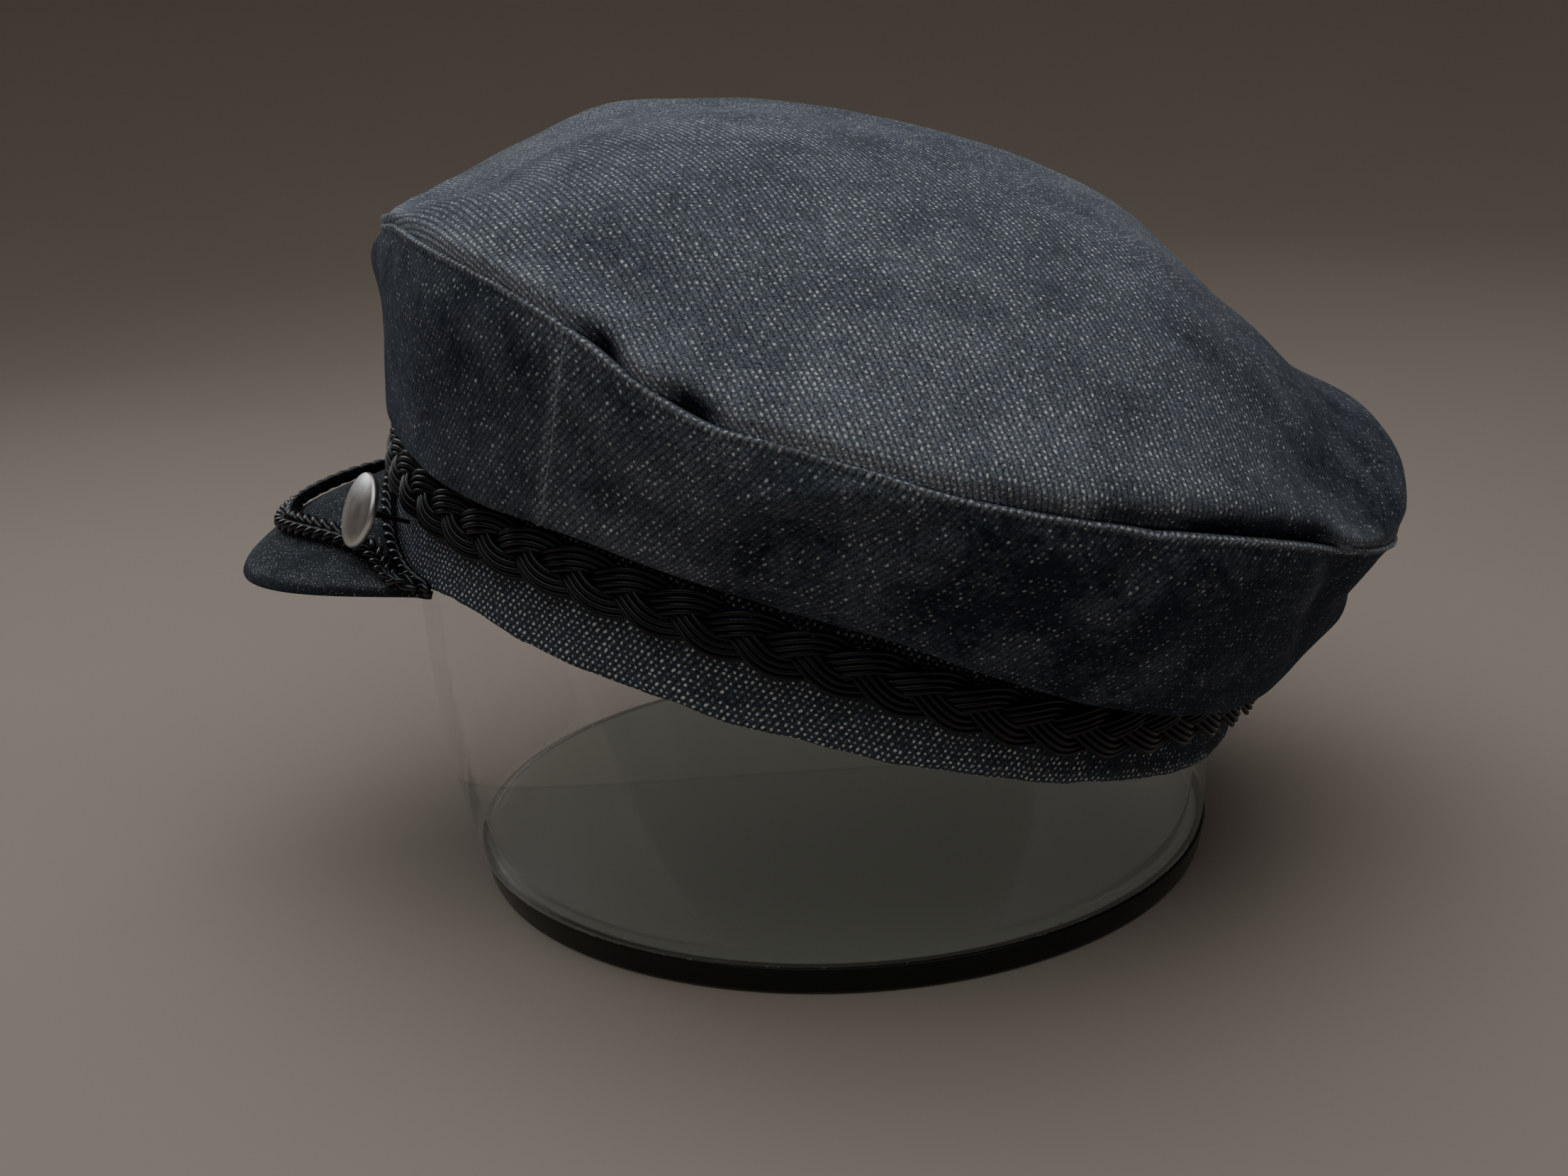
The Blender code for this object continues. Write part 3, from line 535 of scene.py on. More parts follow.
print("sag at 60 degrees:", crease(np.array([60.0])).round(2))

# %% Shape of the top panel
reach, turn = np.meshgrid(1 - np.linspace(1, 0, 96) ** 1.8, np.arange(0, 360, 360 / 440),
                          indexing="ij")
cloth = top_surface(reach, turn)
a = np.radians(turn)
from_seam = arc(cloth[::-1], 0)[::-1] / MM
round_mm = a * CROWN_LONG / 2 / MM
open_seam = crease(turn)
pucker = hills(round_mm / 7.0, from_seam / 14.0, 3) * np.exp(-from_seam / 8.0)
soft = hills(cloth[..., 0] / 0.024, cloth[..., 1] / 0.019, 5)
small = hills(cloth[..., 0] / 0.0085, cloth[..., 1] / 0.007, 6)
push = (1.05 * bell(from_seam, 0, 1.6) * (1 - open_seam)
        - 0.4 * open_seam * bell(from_seam, 1.5, 1.5) + 0.5 * open_seam * bell(from_seam, 7, 3)
        + 0.5 * pucker * np.clip(from_seam / 2, 0, 1)
        + 0.45 * soft * np.clip(from_seam / 20, 0, 1) + 0.10 * small)
facing = normals(cloth, closed=True)
facing *= np.sign(facing[..., 2:].mean())
outward = outward_at(turn)
sag = 1.7 * open_seam * bell(from_seam, 0.5, 3.0)
cloth = cloth + (facing * push[..., None] - outward * sag[..., None]) * MM
print(f"top panel: {from_seam.max():.0f} mm from seam to middle along the cloth")

# %% Wear, painted shade and weave of the top panel
wear_and_painted_light = (0.31 + 0.10 * hills(cloth[..., 0] / 0.05, cloth[..., 1] / 0.04, 8) + 0.075 * small
        + (0.10 * bell(from_seam, 3.0, 2.5) + 0.30 * bell(from_seam, 0.5, 3.0)) * (1 - open_seam)
        + 0.12 * np.clip(pucker * 2, -1, 1)
        # Painted shade: the cloth is made darker in the creases where the top panel sags at the
        # seam.
        - 0.75 * bell(from_seam, 1.0, 2.6) * open_seam
        - 0.40 * bell(turn, 160, 48) * np.clip((reach - 0.25) / 0.4, 0, 1)
        + 0.14 * bell(turn, 95, 40) * np.clip((reach - 0.5) / 0.3, 0, 1)
        - 0.12 * bell(turn, 15, 40) * np.clip((reach - 0.3) / 0.3, 0, 1))
tuck = cloth[-1:] + (np.array([0, 0, -1.3]) - outward[-1:] * 0.5) * MM
cloth, wear_and_painted_light = np.concatenate([cloth, tuck]), np.concatenate([wear_and_painted_light, wear_and_painted_light[-1:]])
walk = arc(cloth, 0)
walk = np.concatenate([walk, walk[:, :1]], 1)
closing = np.broadcast_to(np.append(a[0], a[0, 0] + 2 * np.pi), walk.shape)
weave = np.stack([-walk * np.cos(closing), walk * np.sin(closing)], -1)
crown = weld("crown_top_cloth", [grid(on_stand(cloth), weave, wear_and_painted_light, (False, True))], cap_middle)
wall = crown.modifiers.new("cloth", "SOLIDIFY")
wall.thickness, wall.offset = 0.6 * CLOTH, -1
dress(crown, crown_denim, ["crown_top"])

# %% [markdown]
# ## The side panels
# Three panels run from the band up to the top seam. The lower edge hangs a little over the
# plait. The upright seams between them show as a pressed ridge beside a narrow groove.


# %% Side panels
PANELS = {"front_panel": (-53, 53), "back_panel_left": (53, 180), "back_panel_right": (180, 307)}
TUCK = 1.6 * MM                 # cloth folded in under the top seam


def side_panel(name, first, last, seed):
    """One panel: the side surface between two turns, pushed along its normal by the seam
    ridges, puckers and small hills."""
    up, turn = np.meshgrid(1 - np.linspace(1, 0, 92) ** 1.4,
                           np.linspace(first + 0.05, last - 0.05, int((last - first) * 1.85)),
                           indexing="ij")
    cloth = side_surface(up, turn)
    down = arc(cloth[::-1], 0)[::-1] / MM
    across = np.radians(turn) * CROWN_LONG / 2 / MM
    edge = np.radians(np.minimum(turn - first, last - turn)) * CROWN_LONG / 2 / MM
    pucker = hills(across / 6.0, down / 12.0, seed) * np.exp(-down / 7.0)
    soft = hills(across / 17.0, down / 11.0, seed + 1)
    small = hills(across / 6.5, down / 5.5, seed + 2)
    free = np.clip(up / 0.3, 0, 1)
    push = ((1.15 + 0.25 * hills(across / 2.1, 0 * across, seed + 3)) * bell(down, 0.7, 0.8)
            + 0.30 * pucker * np.clip(down / 2, 0, 1) + 0.35 * soft * free + 0.10 * small * free
            + 0.25 * bell(edge, 1.0, 0.9) * (down > 1) - 0.25 * bell(edge, 0, 0.4))
    facing = normals(cloth)
    outward = outward_at(turn)
    facing *= np.where((facing * outward).sum(-1, keepdims=True).mean() < 0, -1, 1)
    cloth = cloth + facing * push[..., None] * MM
    # Painted light and shade mixed with wear: the sides start much darker than the top, turned
    # away from the light above, and are lighter around 62 degrees from the front, where more light
    # falls. The ridges at the seams are wear.
    wear_and_painted_light = (-0.24 + 0.30 * bell(np.abs(turn), 62, 30) + 0.10 * small + 0.10 * soft
            + 0.9 * bell(down, 0.6, 0.7) + 0.10 * np.exp(-down / 9.0) + 0.8 * bell(edge, 0.4, 0.6))
    tuck = cloth[-1:] + (np.array([0, 0, -0.1]) - outward[-1:]) * TUCK
    cloth, wear_and_painted_light = np.concatenate([cloth, tuck]), np.concatenate([wear_and_painted_light, wear_and_painted_light[-1:]])
    across = np.concatenate([across, across[-1:]])
    down = np.concatenate([down, down[-1:] - TUCK / MM])
    weave = np.stack([across * MM, -down * MM], -1)
    piece = weld(name + "_cloth", [grid(on_stand(cloth), weave, wear_and_painted_light)], cap_middle)
    wall = piece.modifiers.new("cloth", "SOLIDIFY")
    wall.thickness, wall.offset = CLOTH, -1
    dress(piece, crown_denim, [name])


for seed, (name, (first, last)) in enumerate(PANELS.items()):
    side_panel(name, first, last, 20 + 5 * seed)

# %% [markdown]
# ## The band
# A stiff strip of doubled denim round the head. Its section is a rounded rectangle. The lower
# fold is the most worn place on the cap, with a shallow pressed line a few millimetres above.


# %% Band
def rounded_strip(tall, soft, steps=7):
    """Section of the band: depth (0 outside, 1 inside) and height, round its corners."""
    q = np.linspace(0, np.pi / 2, steps)
    c, s = soft * (1 - np.cos(q)), soft * (1 - np.sin(q))
    side = np.linspace(soft, tall - soft, 24)[1:-1]
    out = np.concatenate([s, 0 * side, c])
    up = np.concatenate([c, side, tall - s])
    return np.concatenate([out, BAND_THICK - out[::-1]]), np.concatenate([up, up[::-1]])


depth, height = rounded_strip(BAND_TALL, 1.0 * MM)
turns = np.arange(0, 360, 0.75)
height, turn = np.meshgrid(height, turns, indexing="ij")
depth = np.broadcast_to(depth[:, None], height.shape)
round_mm = turn / 360 * BAND_ROUND / MM
high_mm = height / MM
ripple = (0.16 * hills(round_mm / 9, high_mm / 7, 40)
          + 0.10 * hills(round_mm / 3.2, high_mm / 4, 41)
          - 0.22 * bell(high_mm, 3.4, 0.45) + 0.14 * bell(high_mm, 2.2, 0.9))
x, y = head(turn, -depth + ripple * MM * (depth < BAND_THICK / 2))
wave = (0.35 * hills(round_mm / 11, 0 * round_mm, 42)
        + 0.15 * hills(round_mm / 3, 0 * round_mm, 43)) * np.exp(-high_mm / 4)
corners = bell(turn, 29, 8) + bell(turn, 331, 8)    # the lower edge dips at the peak's ends
wave -= 2.6 * corners * np.clip(1 - high_mm / 12, 0, 1)
strip = np.stack([x, y, height + wave * MM], -1)
wear_and_painted_light = (0.35 + 0.55 * bell(high_mm, 0.8, 1.2) + 0.18 * bell(high_mm, 2.4, 1.0)
        - 0.25 * bell(high_mm, 3.4, 0.4) + 0.12 * hills(round_mm / 6, high_mm / 3, 44)
        - 0.60 * bell(turn, 145, 30) + 0.20 * bell(turn, 45, 28))
section = arc(strip, 0)
section = np.concatenate([section, section[-1:] + 0.8 * MM])
section = np.concatenate([section, section[:, :1]], 1)
lengths = np.broadcast_to(np.append(round_mm[0] * MM, BAND_ROUND), section.shape)
band = weld("band_cloth", [grid(on_stand(strip), np.stack([lengths, section], -1), wear_and_painted_light,
                                (True, True))], cap_middle)
dress(band, band_denim, ["band"])

# %% [markdown]
# ## The peak
# A stiff curved board covered in the same denim, joined to the band's front. Straight lines
# run from the join to the outer edge, and the edge itself is a half round.


# %% Peak surface
PEAK_TURN = 36.5
PEAK_DEEP, PEAK_DROP, PEAK_THICK = 26.5 * MM, 24.1 * MM, 3.0 * MM
PEAK_HANG, PEAK_RISE, PEAK_ARCH = 6.0 * MM, 10.5 * MM, 2.4 * MM


def peak_edge(across):
    """Inner and outer edge of the upper face; across runs from -1 to 1."""
    xi, yi = head(across * PEAK_TURN, GAP + 0.1 * MM)
    corner_x, corner_y = head(PEAK_TURN)
    a = across * np.pi / 2
    nose = np.abs(np.cos(a))
    xo = corner_x * (np.sin(a) - 0.10 * np.sin(2 * a))
    yo = corner_y - (BAND_LONG / 2 + PEAK_DEEP + corner_y) * nose
    zi = PEAK_THICK + PEAK_RISE * np.cos(a) ** 2 - PEAK_HANG * (1 - 0.4 * across ** 14)
    zo = PEAK_THICK - PEAK_DROP * nose - PEAK_HANG * 0.6 * (1 - nose) ** 3
    return np.stack([xi, yi, zi], -1), np.stack([xo, yo, zo], -1)


def peak_surface(across, out):
    """Straight from the band to the outer edge, arched a little upward between them."""
    inner, outer = peak_edge(across)
    out = np.asarray(out)[..., None]
    arch = PEAK_ARCH * np.sin(np.pi * np.clip(out, 0, 1) ** 1.6)
    arch = arch * np.cos(across * np.pi / 2)[..., None]
    return inner + (outer - inner) * out + arch * np.array([0.0, -0.4, 1.0])


def laid(across, out, lift):
    """Points `lift` above the upper face, and the face's normals there."""
    small = 0.01
    face = peak_surface(across, out)
    n = np.cross(peak_surface(across + small, out) - face,
                 peak_surface(across, out + small) - face)
    n /= np.linalg.norm(n, axis=-1, keepdims=True)
    n *= np.sign(n[:, 2:])
    return face + lift * n, n


print("tip of the peak:", peak_surface(np.array(0.0), np.array(1.0)).round(4))

# %% Peak
bend = np.pi / 2 * 0.94                    # columns crowd toward the peak's corners
across = np.sin(np.linspace(-1, 1, 170) * bend) / np.sin(bend) * 0.985
inner, outer = peak_edge(across)
depth = np.linalg.norm(outer - inner, axis=1)
thick = PEAK_THICK * (1 - 0.5 * across ** 4)
round_edge = np.minimum(thick / 2, depth * 0.4)
flat = np.linspace(-0.035, 1, 30)          # the board's inner edge is sewn into the band
q = np.linspace(np.pi / 2, -np.pi / 2, 11)[1:-1]
share = 1 - round_edge / depth
out_top = flat[:, None] * share
rim = share + np.cos(q)[:, None] * round_edge / depth
out = np.concatenate([out_top, rim, out_top[::-1]])
drop = np.concatenate([np.zeros(len(flat)), (1 - np.sin(q)) / 2, np.ones(len(flat))])
many = np.broadcast_to(across, out.shape)
board = peak_surface(many, out)
board[..., 2] -= drop[:, None] * thick
span = arc(board, 0)
wide_mm = board[..., 0] / MM
down_mm = (span - span[len(flat) + 4]) / MM
face = drop[:, None] < 0.5
board[..., 2] += MM * face * (0.10 * hills(wide_mm / 8, down_mm / 7, 50)
                              + 0.05 * hills(wide_mm / 3, down_mm / 3, 51))
# Painted shade: the peak's rim and underside, which face down, are made darker.
wear_and_painted_light = (0.16 + 0.20 * bell(down_mm, -2.5, 2.4) + 0.10 * hills(wide_mm / 7, down_mm / 6, 52)
        - 0.7 * np.clip(drop[:, None] * 3, 0, 1))
sideways = arc(board, 1)
middle_column = len(across) // 2 - 1
peak_uv = np.stack([sideways - sideways[:, middle_column:middle_column + 1], span], -1)
peak_uv = np.concatenate([peak_uv, peak_uv[-1:] + PEAK_THICK])


def peak_end(rim):
    """Closes one end of the board: a fan from its rim to the rim's middle."""
    fan = np.stack([rim, np.broadcast_to(rim.mean(0), rim.shape)])
    return grid(on_stand(fan), np.zeros((2, len(rim) + 1, 2)), 0.0, (False, True))


ends = [peak_end(board[:, 0]), peak_end(board[:, -1])]
peak = weld("peak_cloth", [grid(on_stand(board), peak_uv, wear_and_painted_light, (True, False))] + ends,
            on_stand(board.mean((0, 1))))
dress(peak, peak_denim, ["peak"])

# %% [markdown]
# ## Cords
# All the trims are made of thin glossy cords. A cord is a tube: rings of points carried along
# a path, each ring square to it. A twisted rope is two such tubes whose paths turn round
# each other like a screw.


# %% Tubes and ropes
def unit(v):
    """Vectors of length one."""
    return v / np.maximum(np.linalg.norm(v, axis=-1, keepdims=True), 1e-12)


def heading(path, closed=False):
    """Unit direction along a path."""
    if closed:
        return unit(np.roll(path, -1, 0) - np.roll(path, 1, 0))
    return unit(np.gradient(path, axis=0))


def tube(path, up, radius, sides, closed=False):
    """Rings of points round a path: path + radius (cos a side + sin a lift)."""
    ahead = heading(path, closed)
    side = unit(np.cross(ahead, up))
    lift = np.cross(side, ahead)
    a = full_turn(sides)
    radius = np.broadcast_to(radius, len(path))[:, None, None]
    rings = path[:, None] + radius * (np.cos(a)[None, :, None] * side[:, None]
                                      + np.sin(a)[None, :, None] * lift[:, None])
    u = np.append(0, np.cumsum(np.linalg.norm(np.diff(path, axis=0), axis=1)))
    if closed:
        u = np.append(u, u[-1] + np.linalg.norm(path[0] - path[-1]))
    else:
        rings = np.concatenate([np.broadcast_to(path[:1, None], rings[:1].shape), rings,
                                np.broadcast_to(path[-1:, None], rings[:1].shape)])
        u = np.concatenate([u[:1], u, u[-1:]])
    v = np.arange(sides + 1) * 2 * np.pi * float(radius.mean()) / sides
    uv = np.stack(np.meshgrid(u, v, indexing="ij"), -1)
    return grid(on_stand(rings), uv, 0.0, (closed, True))


def rope(path, up, diameter, lay, sides=9, hand=1, shrink=1.0):
    """Two plies: each is the path moved by 0.23 diameters in a direction that turns once
    in every `lay` of length."""
    ahead = heading(path)
    side = unit(np.cross(ahead, up))
    lift = np.cross(side, ahead)
    length = np.append(0, np.cumsum(np.linalg.norm(np.diff(path, axis=0), axis=1)))
    shrink = np.broadcast_to(shrink, len(path))
    plies = []
    for k in range(2):
        a = hand * 2 * np.pi * length / lay + k * np.pi
        away = np.cos(a)[:, None] * side + np.sin(a)[:, None] * lift
        plies.append(tube(path + away * (0.23 * diameter * shrink)[:, None], away,
                          0.27 * diameter * shrink, sides))
    return plies


print("heading of a path along Y:", heading(np.array([[0.0, 0, 0], [0, 2, 0]]))[0])

# %% [markdown]
# ## The cords' finish
# Black rayon: smooth and a little shiny, with the fine slant of its own twisted threads.


# %% Black cord
def cord_finish(name, colour, rough, gloss, lines, slant, relief):
    """Black cord with fine slanted threads: a sine of both coordinates."""
    material, start, put = finish(name, Roughness=rough, Specular_IOR_Level=gloss,
                                  Specular_Tint=(0.82, 0.93, 1.0, 1))
    x, y = spread(start)
    thread = ((x * slant + y * lines) * 6.2832).sine()
    fuzz = vector(x, y).noise(1.2, 3.0)
    put("Base Color", (thread * 0.2 + fuzz).clamp().mix((*[c * 0.5 for c in colour], 1),
                                                        (*[c * 1.6 for c in colour], 1)))
    put("Roughness", fuzz * 0.2 + rough - 0.10)
    put("Normal", (thread + fuzz * 2.0).bump(relief, 0.02 * MM))
    return material


plait_cord = cord_finish("plait_cord", (0.0040, 0.0041, 0.0043), 0.34, 0.55, 3.1, 1.1, 0.12)
twist_cord = cord_finish("twist_cord", (0.0034, 0.0036, 0.0036), 0.24, 0.85, 3.4, 0.9, 0.12)
print("cord finishes:", plait_cord.name, twist_cord.name)

# %% [markdown]
# ## The plait
# A flat plait of three strands, each strand four thin cords side by side. A strand swings
# across the plait as a sine of its way along and dips in and out twice as often, so that it
# passes over one neighbour and under the next. With 53 crossings round the cap one strand
# meets the end of another, so all three are a single run of three laps.

# %% Plait
PLAIT_THICK, PLAIT_PITCH = 4.4 * MM, 11.4 * MM
CROSSINGS = int(round(BAND_ROUND / PLAIT_PITCH))
THIN, SWING, DIP = 1.20 * MM, 3.35 * MM, 1.05 * MM
laps = np.linspace(0, 1080, 1512, endpoint=False)
phase = 2 * np.pi * CROSSINGS / 3 * laps / 360
x, y = head(laps, GAP + PLAIT_THICK / 2)
middle = np.stack([x, y, BAND_TALL * round_curve(laps, ROUND_ROWS, 1)], -1)
along = heading(middle, closed=True)
outward = outward_at(laps)
above = unit(np.cross(along, outward))
above *= np.sign(above[:, 2:])
strand = (middle + above * (SWING * np.sin(phase))[:, None]
          + outward * (DIP * np.sin(2 * phase))[:, None])
beside = unit(np.cross(outward, heading(strand, closed=True)))
cords = []
for k in range(4):
    out = (k - 1.5) * 1.06 * THIN
    crown_up = 0.35 * MM * (1 - ((k - 1.5) / 1.5) ** 2)
    cords.append(tube(strand + beside * out + outward * crown_up, outward, THIN / 2, 7, True))
plait = weld("plait_cords", cords, cap_middle)
dress(plait, plait_cord, ["plait"])
print("crossings", CROSSINGS)

# %% [markdown]
# ## Ropes on the peak
# One twisted cord lies along the join of peak and band. A second one is doubled into a loop
# on top of the peak, its two runs twisted opposite ways, and it ends under the buttons.

# %% Front cord
CORD_D = 3.0 * MM


def dive(across, start, run):
    """The ends go under the band: 1.8 mm down, from `start` of the half width over `run`."""
    return (1.8 * MM * np.clip((np.abs(across) - start) / run, 0, 1) ** 1.5)[:, None]


across = np.linspace(-0.975, 0.975, 460)
inner, outer = peak_edge(across)
depth = np.linalg.norm((outer - inner)[:, :2], axis=1)
room = CORD_D / 2 + 0.1 * MM
lean = np.linalg.norm(laid(across, np.full(across.shape, 0.1), 0)[1][:, :2], axis=1)
path, n = laid(across, room * (1 - lean) / depth, room)
path = path - n * dive(across, 0.90, 0.075)
front_cord = weld("front_cord_rope", rope(path, n, CORD_D, 6.6 * MM, 12), on_stand(path.mean(0)))
dress(front_cord, twist_cord, ["front_cord"])

# %% Doubled cord
LOOP_WIDE, LOOP_THICK = 6.0 * MM, 3.0 * MM

# Double cord on the peak: across and out on the peak, width as a share of LOOP_WIDE.
LOOP_ROWS = np.array([
    (0.00, 0.69, 1.00), (0.14, 0.68, 1.00), (0.27, 0.61, 1.00), (0.37, 0.535, 0.97),
    (0.47, 0.44, 0.90), (0.56, 0.36, 0.80), (0.65, 0.31, 0.68), (0.73, 0.38, 0.58),
    (0.80, 0.55, 0.54), (0.87, 0.78, 0.52)])

half = np.linspace(0, 1, 260)
a, o, w = (row_curve(half, LOOP_ROWS, k) for k in (0, 1, 2))
last = np.linspace(0, 1, 26)[1:]
a, o = np.append(a, a[-1] + last * 0.07), np.append(o, o[-1] + last * 0.02)
w = np.append(w, np.full(len(last), w[-1]))
a, o, w = (np.concatenate([sign * c[:0:-1], c]) for sign, c in ((-1, a), (1, o), (1, w)))
path, n = laid(a, o, LOOP_THICK / 2 + GAP)
path = path - n * dive(a, 0.88, 0.06)
side = unit(np.cross(heading(path), n))
runs = []
for hand in (1, -1):
    run = path + side * (hand * LOOP_WIDE / 4 * w)[:, None]
    runs += rope(run, n, LOOP_THICK, 7.4 * MM, 10, hand, 0.55 + 0.45 * w)
peak_cord = weld("peak_cord_ropes", runs, on_stand(path.mean(0)))
dress(peak_cord, twist_cord, ["peak_cord"])

# %% [markdown]
# ## The buttons
# Two shallow polished domes, each a profile turned about its own axis. The shank that holds
# them to the band is painted near black, as painted shade for the dark gap between dome and
# cord, so those rows of the profile are marked for the material.

# %% Metal
metal, start, put = finish("polished_metal", Metallic=1.0, Roughness=0.2)
smear = in_object(start).noise(190.0, 5.0)
# The marked shank rows are painted near black and dull: a painted shadow between dome and cord.
thread = start.node("ShaderNodeAttribute", {"attribute_name": "wear_and_painted_light"}, {}, 2)
shine = smear.step(0.35, 0.65).mix((0.80, 0.81, 0.83, 1), (1.0, 1.0, 1.0, 1))
put("Base Color", thread.mix(shine, (0.010, 0.010, 0.011, 1)))
put("Metallic", 1.0 - thread)
put("Roughness", smear * 0.30 + 0.20 + thread * 0.4)
put("Normal", smear.bump(0.5, 0.06 * MM))
print("metal:", len(metal.node_tree.nodes), "nodes")

# %% Buttons
BUTTON_D, BUTTON_DEEP, BUTTON_TURN, BUTTON_TILT = 15.8 * MM, 3.0 * MM, 24.0, 7.0
BUTTON_UP, SHANK_D, SHANK_LONG = 7.8 * MM, 4.0 * MM, 9.4 * MM

# From the shank outward and over the dome: radius in halves of BUTTON_D, and height.
BUTTON_ROWS = np.array([
    (0.2 * SHANK_D / BUTTON_D, -SHANK_LONG), (0.4 * SHANK_D / BUTTON_D, 0.0), (0.70, 0.0),
    (0.95, 0.08 * BUTTON_DEEP), (1.00, 0.30 * BUTTON_DEEP), (0.99, 0.50 * BUTTON_DEEP),
    (0.93, 0.66 * BUTTON_DEEP), (0.72, 0.84 * BUTTON_DEEP), (0.36, 0.96 * BUTTON_DEEP),
    (0.0, 1.00 * BUTTON_DEEP)])


def button(side):
    """The profile turned about its axis, which points outward and a little upward."""
    rows = np.concatenate([np.repeat(BUTTON_ROWS[:2], 2, 0), BUTTON_ROWS[2:]])
    s = np.linspace(0, 1, 60)
    r = np.append(0, row_curve(s, rows, 0)) * BUTTON_D / 2
    z = np.append(-SHANK_LONG, row_curve(s, rows, 1))
    q = full_turn(72)
    uv = BUTTON_D * np.stack(np.meshgrid(np.append(0, s), np.append(q, 2 * np.pi),
                                         indexing="ij"), -1)
    ring = np.stack([r[:, None] * np.cos(q), r[:, None] * np.sin(q), z[:, None] + 0 * q], -1)
    turn = side * BUTTON_TURN
    away, right, high = outward_at(turn), outward_at(turn + 90), np.array([0, 0, 1.0])
    at = np.array([*head(turn), BUTTON_UP]) + away * (GAP + SHANK_LONG)
    c, t = np.cos(np.radians(BUTTON_TILT)), np.sin(np.radians(BUTTON_TILT))
    points = (at + ring[..., :1] * right + ring[..., 1:2] * (high * c - away * t)
              + ring[..., 2:] * (away * c + high * t))
    shank_painted_shade = (z[:, None] < 0.0) * 1.0
    return grid(on_stand(points), uv, shank_painted_shade, (False, True)), on_stand(at)


for side, name in ((1, "button_left"), (-1, "button_right")):
    dome, at = button(side)
    dress(weld(name + "_dome", [dome], at), metal, [name])

# %% [markdown]
# ## The glass stand
# A plain clear jar wall bonded to a thick round plate. Faceted glass would show every face in
# its reflections, so both are turned again with many more steps.


# %% Stand
STAND_TALL, STAND_WIDE, STAND_FORWARD = 122 * MM, 176.6 * MM, 3 * MM
BASE_THICK, GLASS = 6 * MM, 3.2 * MM

# Stand wall: share of its height, radius and forward shift as shares of their sizes.
STAND_ROWS = np.array([
    (0.00, 0.934, 0.0), (0.05, 0.948, 0.2), (0.16, 0.970, 0.5), (0.33, 0.990, 0.9),
    (0.49, 1.000, 1.0), (0.66, 0.996, 1.0), (0.78, 0.970, 0.7), (0.89, 0.918, 0.4),
    (0.97, 0.855, 0.3), (1.00, 0.805, 0.3)])


def stand_rings(height, inset, forward):
    """Rings at some heights: the wall's radius there less the inset, but not below 0, and
    each moved forward by `forward` of the wall's own shift."""
    turns = full_turn(200)
    share = height / STAND_TALL
    r = STAND_WIDE / 2 * curve(share, STAND_ROWS[:, 0], STAND_ROWS[:, 1]) - inset
    r = np.maximum(r, 0)[:, None]
    shift = forward * STAND_FORWARD * curve(share, STAND_ROWS[:, 0], STAND_ROWS[:, 2])
    return np.stack([r * np.sin(turns), -shift[:, None] - r * np.cos(turns),
                     height[:, None] + 0 * turns], -1)


def plain_uv(points, closed):
    """Empty coordinates for a piece whose finish needs none."""
    return np.zeros((points.shape[0] + closed, points.shape[1] + 1, 2))


TOP, LIP, WALL_STEPS = 0.985, 0.012, 60       # shares of the height, and rows up the wall
foot = (BASE_THICK + GAP) / STAND_TALL
lip = np.linspace(0, np.pi, 9)[1:-1]
share = np.concatenate([np.linspace(foot, TOP, WALL_STEPS), TOP + LIP * np.sin(lip),
                        np.linspace(TOP, foot, WALL_STEPS)])
inset = np.concatenate([np.zeros(WALL_STEPS), GLASS * (1 - np.cos(lip)) / 2,
                        np.full(WALL_STEPS, GLASS)])
wall = stand_rings(share * STAND_TALL, inset, 1)
stand_wall = weld("stand_wall_glass", [grid(wall, plain_uv(wall, 1), 0.0, (True, True))],
                  np.array([0, 0, STAND_TALL / 2]))

BEVEL = 0.5 * MM
q = np.linspace(0, np.pi / 2, 6)
height = np.concatenate([[0], BEVEL * (1 - np.cos(q)), BASE_THICK - BEVEL + BEVEL * np.sin(q),
                         [BASE_THICK]])
inset = np.concatenate([[1], BEVEL * (1 - np.sin(q)), BEVEL * (1 - np.cos(q)), [1]])
plate = stand_rings(height, inset, 0)
stand_base = weld("stand_base_glass", [grid(plate, plain_uv(plate, 0), 0.0, (False, True))],
                  np.array([0, 0, BASE_THICK / 2]))
print("stand", STAND_TALL, "m tall")

# %% [markdown]
# ## The glass
# Real glass is nearly invisible face on and brightest where it is seen edge on, so the wall's
# alpha follows the angle of view. Where it stands on the plate a thin line of glue glints. The
# plate is nearly opaque: its top is painted grey-green as painted shade, the floor in the cap's
# shadow seen through the glass, its rim is near black, and a weak painted glow stands for the
# light gathered inside it.

# %% Glass
clear, start, put = finish("clear_glass", Base_Color=(0.93, 0.96, 0.94, 1), Roughness=0.0,
                           IOR=1.46, Transmission_Weight=1.0)
place = in_object(start)
height = start.node("ShaderNodeSeparateXYZ", {}, {0: place}, 2) * 1000.0
plate_top = BASE_THICK / MM
joint = 1.0 - height.step(plate_top + 0.4, plate_top + 0.9)
glint = place.noise(700.0, 2.0)
facing = start.node("ShaderNodeLayerWeight", {}, {"Blend": 0.5}, 1)
put("Alpha", ((facing ** 3.0 * 0.8 + 0.08) * (1.0 - joint * 0.7)
              + joint * glint.step(0.6, 0.7) * 0.3).clamp())
put("Roughness", joint * 0.3)
painted_shade_plate, start, put = finish("base_glass", Roughness=0.22, IOR=1.50, Specular_IOR_Level=0.4,
                            Emission_Strength=1.0)
flat = start.node("ShaderNodeVectorMath", {"operation": "MULTIPLY"},
                  {0: in_object(start), 1: (1.0, 1.0, 0.0)})
across = start.node("ShaderNodeVectorMath", {"operation": "LENGTH"}, {0: flat}, 1)
plate_edge = STAND_WIDE / MM / 2 * STAND_ROWS[0, 1]
rim = (across * 1000.0).step(plate_edge - 1.6, plate_edge - 0.6)
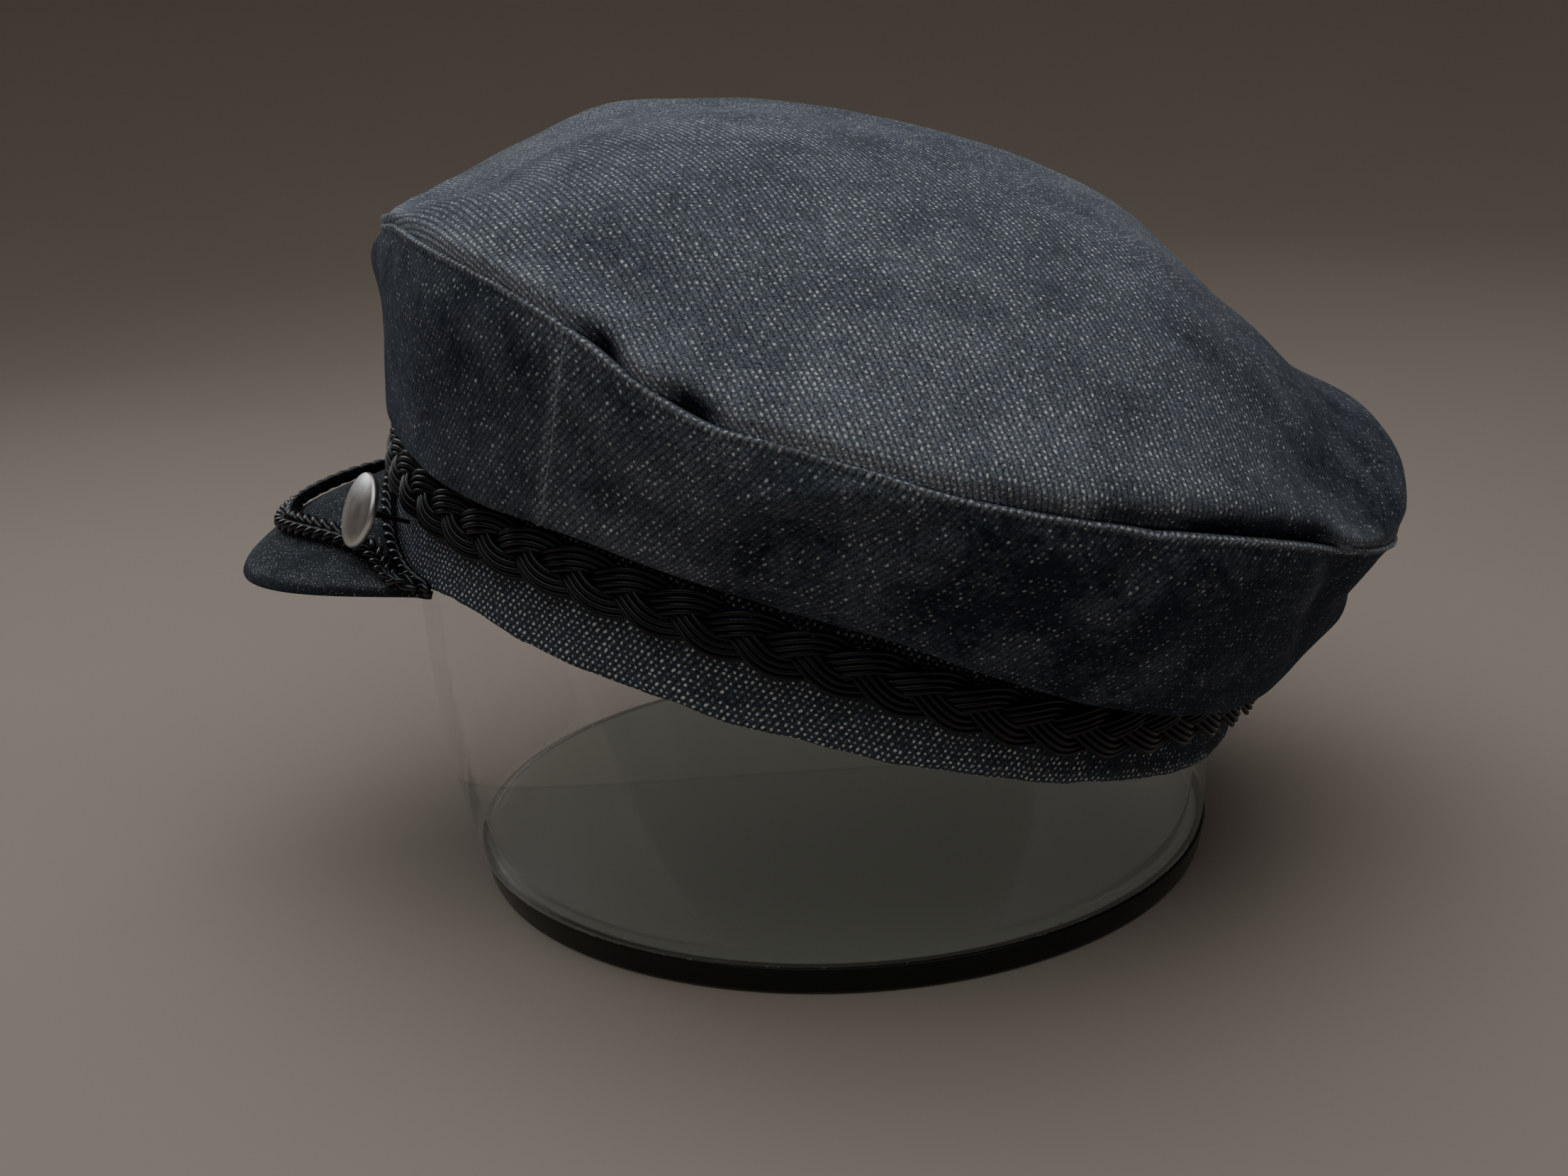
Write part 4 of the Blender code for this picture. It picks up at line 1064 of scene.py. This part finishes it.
# Painted shade: the top's grey-green stands for the shaded floor seen through the plate; the
# emission is a painted glow.
put("Base Color", rim.mix((0.20, 0.207, 0.18, 1), (0.010, 0.016, 0.010, 1)))
put("Emission Color", rim.mix((0.030, 0.0305, 0.026, 1), (0.0, 0.0, 0.0, 1)))
put("Alpha", rim * 0.05 + 0.95)
dress(stand_wall, clear, ["stand_wall"])
dress(stand_base, painted_shade_plate, ["stand_base"])

# %% [markdown]
# ## Floor, light and camera
# A pale seamless floor and one large soft light overhead give the soft shadows on both sides
# of the stand. Three dim lights and a weak sky fill the dark sides. The camera looks from the
# wearer's left, a little above.

# %% Floor
FLAT, COVE, WALL, BELOW = 0.85, 0.6, 2.2, 0.0004       # metres: floor, bend, wall and a gap
q = np.linspace(0, np.pi / 2, 12)[1:]
radius = np.concatenate([[0.0, 0.3, 0.5, 0.7, FLAT], FLAT + COVE * np.sin(q), [FLAT + COVE]])
rise = np.concatenate([np.zeros(5), COVE * (1 - np.cos(q)), [WALL]]) - BELOW
turns = full_turn(96)
cove = np.stack([radius[:, None] * np.cos(turns), radius[:, None] * np.sin(turns),
                 rise[:, None] + 0 * turns], -1)
floor = weld("floor", [grid(cove, plain_uv(cove, 0), 0.0, (False, True))],
             np.array([0, 0, -5.0]))
paper, start, put = finish("paper", Roughness=0.8, Specular_IOR_Level=0.1)
mottle = in_object(start).noise(5.0, 5.0)
put("Base Color", mottle.mix((0.53, 0.475, 0.42, 1), (0.59, 0.53, 0.47, 1)))
floor.data.materials.append(paper)
print("floor", 2 * FLAT, "m across before it bends up")


# %% Lights
def softbox(name, place, target, size, watts, colour, spread=180):
    """A square area light aimed at a point, its beam up to `spread` degrees wide."""
    lamp = bpy.data.lights.new(name, "AREA")
    lamp.size, lamp.energy, lamp.color, lamp.spread = size, watts, colour, np.radians(spread)
    piece = bpy.data.objects.new(name, lamp)
    away = unit(np.array(place) - np.array(target))
    side = unit(np.cross([0, 1, 0.01], away))
    turned = np.stack([side, np.cross(away, side), away], 1)
    piece.matrix_world = Matrix.Translation(place) @ Matrix(turned.tolist()).to_4x4()
    bpy.context.scene.collection.objects.link(piece)


softbox("overhead", (0.06, 0.02, 0.68), (0, 0, 0.08), 1.0, 1.6, (1.0, 0.98, 0.96), 150)
softbox("back_fill", (-0.6, -0.3, 0.8), (0, 0, 0.08), 0.6, 0.22, (1.0, 0.97, 0.94))
softbox("near_fill", (0.75, -0.3, 0.70), (0, 0, 0.08), 0.5, 0.17, (0.97, 0.98, 1.0))
softbox("front_fill", (-0.5, -0.56, 0.42), (0, -0.1, 0.08), 0.4, 0.17, (0.97, 0.98, 1.0), 80)
world = bpy.data.worlds.new("room")
bpy.context.scene.world = world
world.use_nodes = True
sky = world.node_tree.nodes["Background"].inputs
sky[0].default_value, sky[1].default_value = (1.0, 0.96, 0.92, 1), 0.115
print("lamps:", [lamp.name for lamp in bpy.data.lights])

# %% Camera
AZIMUTH, ELEVATION, ROLL = np.radians([90.0, 18.3, -3.1])
DISTANCE, RIGHT, UP = 0.512, -0.0108, 0.0553            # metres
back = np.array([np.sin(AZIMUTH) * np.cos(ELEVATION), -np.cos(AZIMUTH) * np.cos(ELEVATION),
                 np.sin(ELEVATION)])
right = np.array([np.cos(AZIMUTH), np.sin(AZIMUTH), 0.0])
up = np.cross(back, right)
position = back * DISTANCE + right * RIGHT + up * UP
rows = np.stack([right * np.cos(ROLL) + up * np.sin(ROLL),
                 up * np.cos(ROLL) - right * np.sin(ROLL), back, position], 1)
lens = bpy.data.cameras.new("camera")
lens.lens, lens.sensor_width, lens.clip_start = 50, 36, 0.01
camera = bpy.data.objects.new("camera", lens)
camera.matrix_world = Matrix(np.vstack([rows, [0, 0, 0, 1]]).tolist())
bpy.context.scene.collection.objects.link(camera)
bpy.context.scene.camera = camera
print("camera at", position.round(3))
